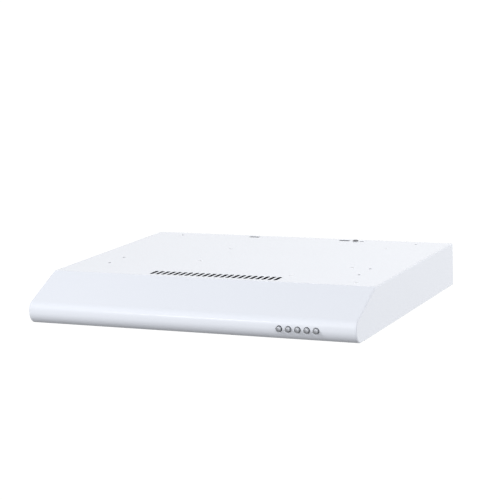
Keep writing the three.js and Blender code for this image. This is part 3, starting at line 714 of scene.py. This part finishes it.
def bent_sheet(name, path, normals, half_width, holes=(), thickness=SHEET):
    """A sheet that follows an open [y, z] path and runs along X.

    half_width is a list of (length along the path, half width). holes are [x, length] loops.
    """
    run = distances(path)

    def at(values, s):
        return column_stack([np.interp(s, run, values[:, k]) for k in range(2)])

    def unit(s):
        return normalised(at(normals, s))

    def wrap(flat, depth):
        past = flat[:, 1] - np.clip(flat[:, 1], 0, run[-1])
        n = unit(flat[:, 1])
        ahead = column_stack((n[:, 1], -n[:, 0])) * past[:, None]
        return column_stack((flat[:, 0], at(path, flat[:, 1]) + ahead - n * depth))

    def frame_at(flat):
        n = unit(flat[:, 1])
        zero = np.zeros(len(flat))
        along = column_stack((zero + 1, zero, zero))
        across = column_stack((zero, n[:, 1], -n[:, 0]))
        return along, across, column_stack((zero, n))

    s0, s1 = EDGE, run[-1] - EDGE
    stops = [s0, *(s for s in run if s0 + EDGE < s < s1 - EDGE), s1]
    stops = sorted({*stops, *(s for s, _ in half_width if s0 < s < s1)})
    widths = np.interp(stops, [s for s, _ in half_width], [w for _, w in half_width]) - EDGE
    border = [(w, s) for s, w in zip(stops, widths)]
    border += [(-w, s) for s, w in reversed(list(zip(stops, widths)))]
    lines = [((-w, s), (w, s)) for s, w in zip(stops[1:-1], widths[1:-1])]
    flat, faces = triangulated(border, [grown(h, EDGE) for h in holes], lines)
    shell = Shell()
    sheet_shell(shell, flat, faces, wrap, frame_at, thickness)
    return shell.build(name)


# ---- Turned, drawn and extruded shapes ----


def eased(points, radius, steps=3, closed=False):
    """A polyline with its corners rounded, as far as their sides allow."""
    points = [np.array(p, float) for p in points]
    count = len(points)
    out = []
    for i, corner in enumerate(points):
        if not closed and i in (0, count - 1):
            out.append(corner)
            continue
        back, ahead = points[i - 1] - corner, points[(i + 1) % count] - corner
        a, b = np.linalg.norm(back), np.linalg.norm(ahead)
        cosine = float(back @ ahead / (a * b))
        if cosine < -0.999:
            out.append(corner)
            continue
        half = math.acos(max(-1.0, min(1.0, cosine))) / 2
        reach = min(radius / math.tan(half), 0.45 * a, 0.45 * b)
        start, end = corner + back / a * reach, corner + ahead / b * reach
        for t in np.linspace(0, 1, steps + 1):
            out.append(start * (1 - t) ** 2 + corner * 2 * t * (1 - t) + end * t**2)
    return np.array(out)


AXES = {
    "z": lambda across, up, h: (across, up, h),
    "y": lambda across, up, h: (across, h, up),
    "x": lambda across, up, h: (h, across, up),
}


def band(a, b, count):
    """Quads between two rings of points, which start at a and b."""
    return [(a + k, a + (k + 1) % count, b + (k + 1) % count, b + k) for k in range(count)]


def lathe(name, profile, at, axis="z", segments=40, round_by=0.3, crease=32):
    """[radius, height] turned about an axis. at is where the axis crosses the height zero."""
    profile = eased(profile, round_by)
    turn = np.arange(segments) * 2 * pi / segments
    points, faces = [], []
    for radius, height in profile:
        for angle in turn:
            across, up = radius * cos(angle), radius * sin(angle)
            points.append(np.add(at, AXES[axis](across, up, height)))
    for a in range(0, (len(profile) - 1) * segments, segments):
        faces += band(a, a + segments, segments)
    obj = mesh_object(name, points, faces)
    with edited(obj) as bm:
        bmesh.ops.remove_doubles(bm, verts=bm.verts, dist=1e-6)
        bmesh.ops.dissolve_degenerate(bm, edges=bm.edges, dist=1e-7)
    return creased(obj, crease)


def smooth_route(points, per_span):
    """A Catmull-Rom curve through the given points."""
    p = np.array(points, float)
    p = np.vstack((2 * p[0] - p[1], p, 2 * p[-1] - p[-2]))
    out = []
    for i in range(1, len(p) - 2):
        for t in np.arange(per_span) / per_span:
            out.append(0.5 * (2 * p[i] + (p[i + 1] - p[i - 1]) * t
                              + (2 * p[i - 1] - 5 * p[i] + 4 * p[i + 1] - p[i + 2]) * t**2
                              + (3 * p[i] - p[i - 1] - 3 * p[i + 1] + p[i + 2]) * t**3))
    out.append(p[-2])
    return np.array(out)


def route_frames(route):
    """Two unit vectors across the route at each point, carried along it without twist."""
    tangent = normalised(np.gradient(route, axis=0))
    start = np.cross(tangent[0], (0, 0, 1) if abs(tangent[0][2]) < 0.9 else (1, 0, 0))
    sides = [start / np.linalg.norm(start)]
    for t in tangent[1:]:
        side = sides[-1] - t * (sides[-1] @ t)
        sides.append(side / np.linalg.norm(side))
    sides = np.array(sides)
    return sides, np.cross(tangent, sides)


def tube(name, route, radius, segments):
    """A round wire along a route, cut square at its ends."""
    route = np.asarray(route, float)
    points, faces = [], []
    for p, side, up in zip(route, *route_frames(route)):
        for k in range(segments):
            angle = 2 * pi * k / segments
            points.append(p + radius * (cos(angle) * side + sin(angle) * up))
    last = (len(route) - 1) * segments
    for a in range(0, last, segments):
        faces += band(a, a + segments, segments)
    faces += [tuple(reversed(range(segments))), tuple(last + k for k in range(segments))]
    return creased(mesh_object(name, points, faces), 50)


def prism(name, outline, low, high, holes=(), edge=0.25):
    """A flat plate on Z with an outline, holes and rounded upper and lower edges."""
    flat, faces = triangulated(grown(outline, -edge), [grown(h, edge) for h in holes])
    up, along, across = np.array((0, 0, 1.0)), np.array((1.0, 0, 0)), np.array((0, 1.0, 0))
    shell = Shell()
    top = shell.add(column_stack((flat, np.full(len(flat), high))))
    bottom = shell.add(column_stack((flat, np.full(len(flat), low))))
    ups = np.tile(up, (len(flat), 1))
    shell.cap(top, faces, ups)
    shell.cap(bottom, faces, -ups, flip=True)
    for loop in boundary_loops(faces):
        away = outward(flat[loop])
        facing = normalised(away)
        side = facing[:, :1] * along + facing[:, 1:] * across
        ring, ring_normals = [top[i] for i in loop], ups[loop]
        for angle, level, pole in ((45, high, 1), (90, high, 1), (90, low, -1), (45, low, -1), (0, low, -1)):
            turn = radians(angle)
            depth = edge * (1 - cos(turn))
            normals = up * pole * cos(turn) + side * sin(turn)
            if angle:
                spots = flat[loop] + away * edge * sin(turn)
                following = shell.add(column_stack((spots, np.full(len(loop), level - pole * depth))))
            else:
                following = [bottom[i] for i in loop]
            shell.strip(ring, following, ring_normals, normals)
            ring, ring_normals = following, normals
    return shell.build(name)


def spring_route(x, z, span, radius, wire, turns):
    """A compression coil along Y with a closed turn at each end."""
    total = turns + 2
    angles = np.linspace(0, 2 * pi * total, total * COIL_STEPS + 1)
    t = np.linspace(0, total, len(angles))
    low, high = span[0] + wire, span[1] - wire
    climb = np.interp(t, [0, 1, total - 1, total], [0, 2 * wire, high - low - 2 * wire, high - low])
    return column_stack((x + radius * np.cos(angles), low + climb, z + radius * np.sin(angles)))


def make_spring(name, node, at, span, radius, wire, turns):
    """A coil along Y at [x, z]."""
    x, z = at
    coil = tube(name, spring_route(x, z, span, radius, wire, turns), wire, 8)
    dress(coil, node)
    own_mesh(coil)


# ---- Casing ----


def button_places():
    middle = (len(BUTTON_NAMES) - 1) / 2
    return [BUTTON_MIDDLE_X + (i - middle) * BUTTON_PITCH for i in range(len(BUTTON_NAMES))]


def vent_slot(x):
    radius = SLOT_WIDTH / 2
    far = arc((x, SLOT_Y[1] - radius), radius, 0, 180, 8)
    near = arc((x, SLOT_Y[0] + radius), radius, 180, 360, 8)
    return np.vstack((far, near))


def top_holes():
    """Every hole of the flat top, as [x, y] loops."""
    loops = [vent_slot((i - (SLOT_COUNT - 1) / 2) * SLOT_PITCH) for i in range(SLOT_COUNT)]
    for y in CABINET_HOLES_Y:
        loops += [circle((side * CABINET_HOLE_X, y), CABINET_HOLE_RADIUS) for side in (-1, 1)]
    loops += [circle(at, SCREW_HOLE_RADIUS) for at in SCREWS.values()]
    loops += [rounded_box(x, REAR_SLOT_Y, 0.8) for x in REAR_SLOTS_X]
    loops.append(rounded_box(TIE_SLOT_X, TIE_SLOT_Y, 0.8))
    loops.append(circle(CABLE_AT, CABLE_HOLE_RADIUS, 36))
    return loops


def make_skin():
    points, normals = casing_profile()
    path = np.vstack(((LIP_END_Y, 0), points, (DEPTH, HEIGHT)))
    normals = np.vstack(((0, -1), normals, (0, 1)))
    run = distances(path)
    top_start = run[-1] - DEPTH
    holes = [loop + np.array((0, top_start)) for loop in top_holes()]
    nose_z = points[: len(points) // 2, 1]
    front = np.interp(BUTTON_Z, nose_z, run[1 : 1 + len(nose_z)])
    holes += [circle((x, front), BUTTON_HOLE_RADIUS, 32) for x in button_places()]
    half = HALF_WIDTH - SIDE_BEND
    widths = [(0, half), (run[-1], half)]
    skin = bent_sheet("top_and_front_shell", path, normals, widths, holes, SKIN_SHEET)
    dress(skin, "top_front_skin")


def side_outline():
    """The side panel's loop: [y, z], outward normals, the roll of the edge, and where its lip ends."""
    casing, casing_normals = casing_profile()
    corner = 1.3
    rear_low = arc((DEPTH - corner, corner), corner, -90, 0, 4)
    rear_high = arc((DEPTH - corner, HEIGHT - corner), corner, 0, 90, 4)
    low_normals = (rear_low - (DEPTH - corner, corner)) / corner
    high_normals = (rear_high - (DEPTH - corner, HEIGHT - corner)) / corner
    butt, rear, flange = HALF_WIDTH - SIDE_BEND, HALF_WIDTH - 0.9, HALF_WIDTH - SHEET - 14
    stretches = (
        (rear_low, low_normals, [0.9] * 5, np.linspace(flange, rear, 5)),
        (rear_high, high_normals, [0.9, 0.9, 0.9, 1.1, 1.3], np.linspace(rear, butt, 5)),
        ([(DEPTH - 8, HEIGHT)], [(0, 1)], [SIDE_BEND], [butt]),
        (casing[::-1], casing_normals[::-1], [SIDE_BEND] * len(casing), [butt] * len(casing)),
        ([(LIP_END_Y, 0), (LIP_END_Y + 3, 0)], [(0, -1)] * 2, [SIDE_BEND, 1.2], [butt, flange]),
        ([(DEPTH - 8, 0)], [(0, -1)], [1.2], [flange]),
    )
    return [np.concatenate([np.asarray(s[k], float) for s in stretches]) for k in range(4)]


def make_side(name, sign):
    outline, normals, roll, lip = side_outline()
    side = column_stack((np.zeros(len(outline)), normals))
    face = np.tile((1.0, 0, 0), (len(outline), 1))
    shell = Shell()

    def ring(inset, x):
        yz = outline - normals * np.asarray(inset)[:, None]
        return shell.add(column_stack((np.broadcast_to(x, len(yz)), yz)))

    arcs = np.linspace(0, pi / 2, 7)
    rings = [(ring(roll * (1 - sin(a)), HALF_WIDTH - roll * (1 - cos(a))),
              face * cos(a) + side * sin(a)) for a in arcs]
    rings.append((ring(roll * 0, lip), side))
    inner = np.maximum(roll - SHEET, 0.05)
    inner_rings = [(ring(roll - inner * sin(a), HALF_WIDTH - roll + inner * cos(a)),
                    -face * cos(a) - side * sin(a)) for a in arcs[::-1]]
    edge_ring = ring(roll * 0 + SHEET, lip)
    for (a, an), (b, bn) in zip(rings, rings[1:]):
        shell.strip(a, b, an, bn)
    shell.strip(rings[-1][0], edge_ring, -face, -face)
    inner_rings.insert(0, (edge_ring, -side))
    for (a, an), (b, bn) in zip(inner_rings, inner_rings[1:]):
        shell.strip(a, b, an, bn)
    flat = outline - normals * roll[:, None]
    found, faces = triangulated(flat)
    across = np.tile((1.0, 0, 0), (len(found), 1))
    for x, flip in ((HALF_WIDTH, False), (HALF_WIDTH - SHEET, True)):
        ids = shell.add(column_stack((np.full(len(found), x), found)))
        shell.cap(ids, faces, -across if flip else across, flip)
    panel = shell.build(f"{name}_side_shell", mirror=sign < 0)
    dress(panel, f"{name}_side_panel")


def make_rear():
    top = HEIGHT - SHEET - SEAM
    path, normals = bent_path([(DEPTH - 8, top), (DEPTH, top), (DEPTH, 0), (DEPTH - 14, 0)], 1.2)
    run = distances(path)
    wide, narrow = HALF_WIDTH - 0.9 - SEAM, HALF_WIDTH - SHEET - 14.3
    knee = run[-1] - 13.2
    half_width = [(0, narrow), (7.6, narrow), (7.9, wide), (knee, wide), (knee + 0.3, narrow),
                  (run[-1], narrow)]
    dress(bent_sheet("rear_shell", path, normals, half_width), "rear_panel")


def mirrored(pair, sign):
    return tuple(pair) if sign > 0 else (-pair[1], -pair[0])


def make_tray():
    """The pan behind the nose, with the two lamp windows and the notches for the filter bolts."""
    lip = SHEET + 0.3
    corners = [(TRAY_BACK_Y - 10, TRAY_WALL), (TRAY_BACK_Y, TRAY_WALL), (TRAY_BACK_Y, 0),
               (LIP_END_Y + 2, 0), (LIP_END_Y + 1, lip), (LIP_END_Y - 10, lip)]
    path, normals = bent_path(corners, 1.0)
    run = distances(path)
    floor_start = run[np.argmin(abs(path[:, 0] - (TRAY_BACK_Y - 1)) + path[:, 1])]
    holes = []
    for _, sign in SIDES:
        spread = [floor_start + TRAY_BACK_Y - 1 - y for y in reversed(LENS_Y)]
        holes.append(rounded_box(mirrored(LENS_X, sign), spread, 1.5))
        notch = mirrored((LATCH_X - 13, LATCH_X + 13), sign)
        holes.append(rounded_box(notch, (floor_start - 10.1, floor_start - 0.6), 0.8))
    half = HALF_WIDTH - SHEET - 14.3
    tray = bent_sheet("front_tray_shell", path, normals, [(0, half), (run[-1], half)], holes)
    dress(tray, "front_tray")


def cross_outline(at, half, arm):
    """A plus sign, counter-clockwise."""
    corners = ((half, -arm), (half, arm), (arm, arm), (arm, half), (-arm, half), (-arm, arm),
               (-half, arm), (-half, -arm), (-arm, -arm), (-arm, -half), (arm, -half), (arm, -arm))
    return np.array(corners) + at


def make_screws():
    for name, at in SCREWS.items():
        top = HEIGHT - 0.15
        recess = cross_outline(at, 2.0, 0.45)
        rim = circle(at, SCREW_HEAD_RADIUS, 40)
        head = prism(f"{name}_head", rim, HEIGHT - SHEET + 0.1, top, [recess], 0.12)
        shank = [(0, -8), (1.2, -8), (1.8, -6.8), (1.8, -0.8), (2.9, -0.75), (2.9, -0.45), (0, -0.45)]
        body = lathe(f"{name}_shank", shank, (*at, HEIGHT), segments=20, round_by=0.05)
        dress(joined(name.replace("screw", "pan_screw"), [head, body]), name)


def joined(name, pieces):
    """Several mesh objects made one, under the first one's place."""
    with bpy.context.temp_override(active_object=pieces[0], selected_editable_objects=pieces):
        bpy.ops.object.join()
    pieces[0].name = name
    pieces[0].data.name = name
    return pieces[0]


# ---- Buttons and springs ----


def make_buttons():
    face = -BUTTON_PROUD
    insert = [(0, face), (1.3, face + 0.03), (2.5, face + 0.12), (3.4, face + 0.24), (3.9, face + 0.36),
              (3.95, face + 0.7), (0, face + 0.7)]
    profile = [(0, face + 0.5), (3.9, face + 0.5), (4.0, face + 0.3), (4.3, face + 0.3), (4.62, face + 0.9),
               (BUTTON_RADIUS, 0), (BUTTON_RADIUS, BUTTON_BACK), (STEM_RADIUS, BUTTON_BACK),
               (STEM_RADIUS, STEM_END), (0, STEM_END)]
    for name, x in zip(BUTTON_NAMES, button_places()):
        at = (x, 0, BUTTON_Z)
        cap = lathe(f"{name}_button_cap", profile, at, "y", 48, 0.5, 60)
        dress(cap, f"button_{name}")
        disc = lathe(f"{name}_button_face", insert, at, "y", 48, 0.15, 50)
        extra(disc, f"button_{name}", "satin_chrome")
        span = (BUTTON_BACK + 0.3, SWITCH_FACE_Y - 0.3)
        make_spring(f"{name}_button_coil", f"button_spring_{name}", (x, BUTTON_Z),
                    span, 3.5, 0.35, 3)


# ---- Lamps ----


def make_lamp(name, sign):
    from_cad(f"lamp_lens_{name}", f"{name}_lens", 0.5, 3)
    from_cad(f"lamp_holder_{name}", f"{name}_lamp_holder", 0.8, 3)
    glass = [(0, 0), (4, 0.5), (8.2, 2.6), (11.3, 6.2), (12.5, 11), (12.5, 40), (11.8, 48),
             (9.6, 56), (7.6, 61.5), (6.6, 66)]
    at = (sign * BULB_TIP_X, *BULB_AT)
    glass = [(r, sign * h) for r, h in glass]
    bulb = lathe(f"{name}_bulb", glass, at, "x", 40, 4)
    dress(bulb, f"lamp_bulb_{name}")
    thread = [(6.8 - 0.45 * (i % 2), 66 + 1.5 * i) for i in range(12)]
    cap = [(6.6, 65.5), *thread, (6.0, 84), (3.2, 85.6), (2.4, 87), (0, 87)]
    screw_cap = lathe(f"{name}_bulb_cap", [(r, sign * h) for r, h in cap], at, "x", 32, 0.4, 60)
    extra(screw_cap, f"lamp_bulb_{name}", "zinc_steel")


# ---- Fan ----


def make_wheel():
    z0, z1 = WHEEL_Z
    plate = [(3.4, z1), (12, z1), (16, z1 - 0.6), (70, z1 - 0.6), (WHEEL_RADIUS, z1), (WHEEL_RADIUS, z1 - 2),
             (16, z1 - 2.4), (9, z1 - 3), (9, z1 - 8), (3.4, z1 - 8), (3.4, z1)]
    rim = [(70.6, z0), (WHEEL_RADIUS, z0), (WHEEL_RADIUS, z0 + 3), (73, z0 + 4), (71, z0 + 3), (70.6, z0)]
    at = (*FAN_AT, 0)
    pieces = [lathe("wheel_plate", plate, at, segments=96), lathe("wheel_rim", rim, at, segments=96)]
    spread = np.linspace(0, 1, 9)
    radii = WHEEL_INNER + (WHEEL_RADIUS - 0.7 - WHEEL_INNER) * spread
    sweep = 0.16 * spread**1.7
    for i in range(WHEEL_BLADES):
        turn = 2 * pi * i / WHEEL_BLADES
        inner = column_stack((radii * np.cos(sweep + turn), radii * np.sin(sweep + turn)))
        thick = 0.9 / radii
        outer = column_stack((radii * np.cos(sweep + turn + thick), radii * np.sin(sweep + turn + thick)))
        outline = np.vstack((inner, outer[::-1])) + FAN_AT
        pieces.append(prism("blade", outline, z0 + 1, z1 - 1, edge=0.2))
    dress(joined("blower_wheel", pieces), "fan_wheel")


def make_motor():
    z0, z1 = MOTOR_Z
    stack = [(MOTOR_RADIUS - 0.35 * (i % 2), z0 + 9.6 + 0.7 * i) for i in range(21)]
    profile = [(0, z0), (16, z0), (30, z0 + 3), (35, z0 + 8.4), (MOTOR_RADIUS, z0 + 9), *stack,
               (MOTOR_RADIUS, z1 - 9), (35, z1 - 8.4), (30, z1 - 3), (10, z1), (3.4, z1), (3.4, z1 - 6)]
    motor = lathe("motor_can", profile, (*FAN_AT, 0), segments=72, round_by=0.5, crease=40)
    dress(motor, "fan_motor")
    shaft = [(0, 40), (3, 40), (3, 70.5), (2.4, 71.5), (0, 71.5)]
    dress(lathe("motor_spindle", shaft, (*FAN_AT, 0), segments=24), "fan_shaft")
    from_cad("wheel_nut", "wheel_hex_nut", 0.4, 3)
    from_cad("motor_bracket", "motor_bracket_plate", 0.3)


def make_guard():
    centre = np.array((*FAN_AT, GUARD_Z))
    pieces = []
    for radius in GUARD_RINGS:
        ring = circle((0, 0), radius, 72)
        route = column_stack((ring, np.zeros(len(ring)))) + centre
        route = np.vstack((route, route[:1]))
        pieces.append(tube("ring", route, 1.0, 10))
    for i in range(6):
        turn = radians(30 + 60 * i)
        out = np.array((cos(turn), sin(turn), 0))
        pieces.append(tube("spoke", [centre + out * r for r in (16, 30, 50, 67.5)], 1.0, 10))
    dress(joined("finger_guard", pieces), "inlet_guard")


# ---- Electrical parts ----


def make_gland():
    neck = CABLE_HOLE_RADIUS - 0.25
    under = HEIGHT - 1.1
    profile = [(3.5, under - 6), (7.2, under - 6), (7.2, under), (neck, under), (neck, HEIGHT + 0.3),
               (5.8, HEIGHT + 0.3), (4.2, HEIGHT + 1.8), (3.6, HEIGHT + 1.8), (3.3, HEIGHT + 1.2),
               (3.3, under - 6)]
    dress(lathe("cable_bushing", profile, (*CABLE_AT, 0), segments=48, round_by=0.4), "cable_gland")


def make_capacitor():
    profile = [(0, -22), (12.6, -22), (13.2, -21.6), (13.4, -20.6), (14, -20), (14, 28.6), (13.4, 30), (11, 30),
               (10.4, 29.2), (4, 29.2), (4, 36), (2, 36), (0, 36)]
    can = lathe("capacitor_can", profile, CAPACITOR_AT, "y", 56, 0.4)
    dress(can, "motor_capacitor")


def make_loom():
    route = smooth_route(LOOM_ROUTE, 12)
    sides, ups = route_frames(route)
    twist = np.linspace(0, 9 * pi, len(route))
    colours = ("wire_sleeve", "brown_wire", "blue_wire", "black_plastic")
    for i, colour in enumerate(colours):
        angle = twist + i * pi / 2
        offset = 1.6 * (np.cos(angle)[:, None] * sides + np.sin(angle)[:, None] * ups)
        wire = tube(f"loom_wire_{i + 1}", route + offset, 1.15, 10)
        if i == 0:
            dress(wire, "wiring_loom")
        else:
            extra(wire, "wiring_loom", colour)


# ---- Filters ----


def framed(name, x, y, corner, section):
    """A closed frame: a section of (inset, height) points carried round a rectangle."""
    section = eased(section, 0.45, 2, closed=True)
    rings = []
    for inset, height in section:
        inner_x, inner_y = (x[0] + inset, x[1] - inset), (y[0] + inset, y[1] - inset)
        outline = rounded_box(inner_x, inner_y, max(corner - inset, 0.5), 5)
        rings.append(column_stack((outline, np.full(len(outline), height))))
    count = len(rings[0])
    faces = []
    for i in range(len(rings)):
        faces += band(i * count, (i + 1) % len(rings) * count, count)
    return creased(mesh_object(name, np.vstack(rings), faces))


def spans(keep):
    """The runs of True in a row of flags, each as (first, last + 1)."""
    edges = np.flatnonzero(np.diff(np.concatenate(([0], keep.astype(int), [0]))))
    return list(zip(edges[::2], edges[1::2]))


def expanded_metal(name, x, y, z, half_pitch, rise, strand, thick, wave, gap_x, gap_end):
    """Slit and stretched foil: zigzag strands that touch their neighbours at every knuckle.

    The strands leave out the corner of the frame where the latch house stands.
    """
    columns = int((x[1] - x[0]) / half_pitch)
    rows = int((y[1] - y[0]) / rise) - 1
    across = np.linspace(x[0], x[1], columns + 1)
    section = np.array(((-strand / 2, -thick / 2), (strand / 2, -thick / 4), (strand / 2, thick / 2),
                        (-strand / 2, thick / 4)))
    beside = (across < gap_x[0]) | (across > gap_x[1])
    points, faces = [], []
    for row in range(rows):
        middle = y[0] + (row + 1) * rise
        zigzag = middle + rise / 2 * (-1.0) ** (np.arange(columns + 1) + row)
        lift = z + wave * np.sin(across / 11 + row * 0.35)
        keep = beside if middle < gap_end else np.ones_like(beside)
        for start, end in spans(keep):
            first = sum(len(p) for p in points)
            part = slice(start, end)
            ring = [column_stack((across[part], zigzag[part] + dy, lift[part] + dz)) for dy, dz in section]
            points.append(np.stack(ring, axis=1).reshape(-1, 3))
            last = first + 4 * (end - start - 1)
            faces.append((first, first + 3, first + 2, first + 1))
            faces.append((last, last + 1, last + 2, last + 3))
            for a in range(first, last, 4):
                faces += band(a, a + 4, 4)
    return mesh_object(name, np.vstack(points), faces)


def make_filter(name, sign):
    x = mirrored(FILTER_X, sign)
    z0, z1 = FILTER_Z
    centre = sign * LATCH_X
    node = f"{name}_filter_frame"
    section = [(FILTER_BORDER, z0), (0, z0), (0, z1), (9, z1), (9, z1 - SHEET), (SHEET, z1 - SHEET),
               (SHEET, z0 + SHEET), (FILTER_BORDER, z0 + SHEET)]
    pieces = [framed("channel", x, FILTER_Y, 3.0, section)]
    for dx in (-90, 90):
        tab = rounded_box((centre + dx - 10, centre + dx + 10), (FILTER_Y[1] - 4, FILTER_Y[1] + 11), 2.5)
        pieces.append(prism("tab", tab, z0 + 0.2, z0 + 3.8, edge=0.7))
    dress(joined(f"{name}_filter_channel", pieces), node)

    outline = rounded_box((centre - 22, centre + 22), (FILTER_Y[0] + 6, 186), 4)
    pocket = rounded_box((centre - LATCH_HALF - 0.4, centre + LATCH_HALF + 0.4),
                         (LATCH_Y[0] - 0.4, LATCH_POCKET_END), 1.2)
    walls = prism("house_walls", outline, z0 - 0.4, 8.6, [pocket], 0.5)
    roof = prism("house_roof", outline, 8.6, z1, edge=0.3)
    extra(joined(f"{name}_latch_house", [walls, roof]), node, "black_plastic")

    inside_x, inside_y = (x[0] + 8, x[1] - 8), (FILTER_Y[0] + 8, FILTER_Y[1] - 8)
    house = ((centre - 22.5, centre + 22.5), 188)
    foil = expanded_metal("foil", inside_x, inside_y, 3.6, 5.2, 3.0, 1.15, 0.6, 0.25, *house)
    backing = expanded_metal("backing", inside_x, inside_y, 5.4, 7.4, 4.4, 1.3, 0.6, 0.35, *house)
    dress(joined(f"{name}_expanded_mesh", [foil, backing]), f"{name}_filter_mesh")

    from_cad(f"{name}_filter_latch", f"{name}_latch_bolt", 0.7, 3)
    span = (LATCH_Y[1] + 0.3, LATCH_POCKET_END - 0.3)
    make_spring(f"{name}_latch_coil", f"{name}_latch_spring", (centre, 5),
                span, 2.6, 0.4, 4)


def make_carbon_pad(name, sign):
    """A mat of carbon foam, and the bent wire that holds it."""
    low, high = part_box(f"{name}_carbon_pad")
    low, high = ((np.array(c) - DRAWING_ORIGIN) / MM for c in (low, high))
    outline = rounded_box((low[0], high[0]), (low[1], high[1]), 5)
    mat = prism(f"{name}_carbon_mat", outline, low[2], high[2], edge=1.2)
    dress(mat, f"{name}_carbon_pad")
    top = high[2] + 1.3
    ends = [sign * 18, sign * 259]
    route = [(ends[0], 236, low[2] + 1.2), (ends[0], 236, top), (ends[1], 236, top), (ends[1], 426, top),
             (ends[0], 426, top), (ends[0], 426, low[2] + 1.2)]
    wire = tube(f"{name}_pad_clip", eased(route, 4, 6), 1.0, 12)
    dress(wire, f"{name}_pad_wire")


# ---- Build ----

SOFTENED_NODES = {
    "rear_filter_rail": 0.25, "centre_rib": 0.25, "fan_volute": 0.6, "fan_inlet_plate": 0.4,
    "outlet_plenum": 0.5, "capacitor_clip": 0.25, "terminal_box": 1.0, "terminal_box_lid": 0.6,
    "terminal_block": 0.5, "loom_clip": 0.4, "switch_block": 0.8, "switch_bracket": 0.25,
}

make_camera()
make_world()
make_floor()
make_lights()
make_skin()
make_rear()
make_tray()
make_screws()
make_gland()
make_buttons()
make_wheel()
make_motor()
make_guard()
make_capacitor()
make_loom()
for side_name, side_sign in SIDES:
    make_side(side_name, side_sign)
    make_lamp(side_name, side_sign)
    make_filter(side_name, side_sign)
    make_carbon_pad(side_name, side_sign)
for node, width in SOFTENED_NODES.items():
    from_cad(node, f"{node}_moulding" if "plate" not in node else f"{node}_part", width)

bpy.context.scene.view_settings.view_transform = "Standard"
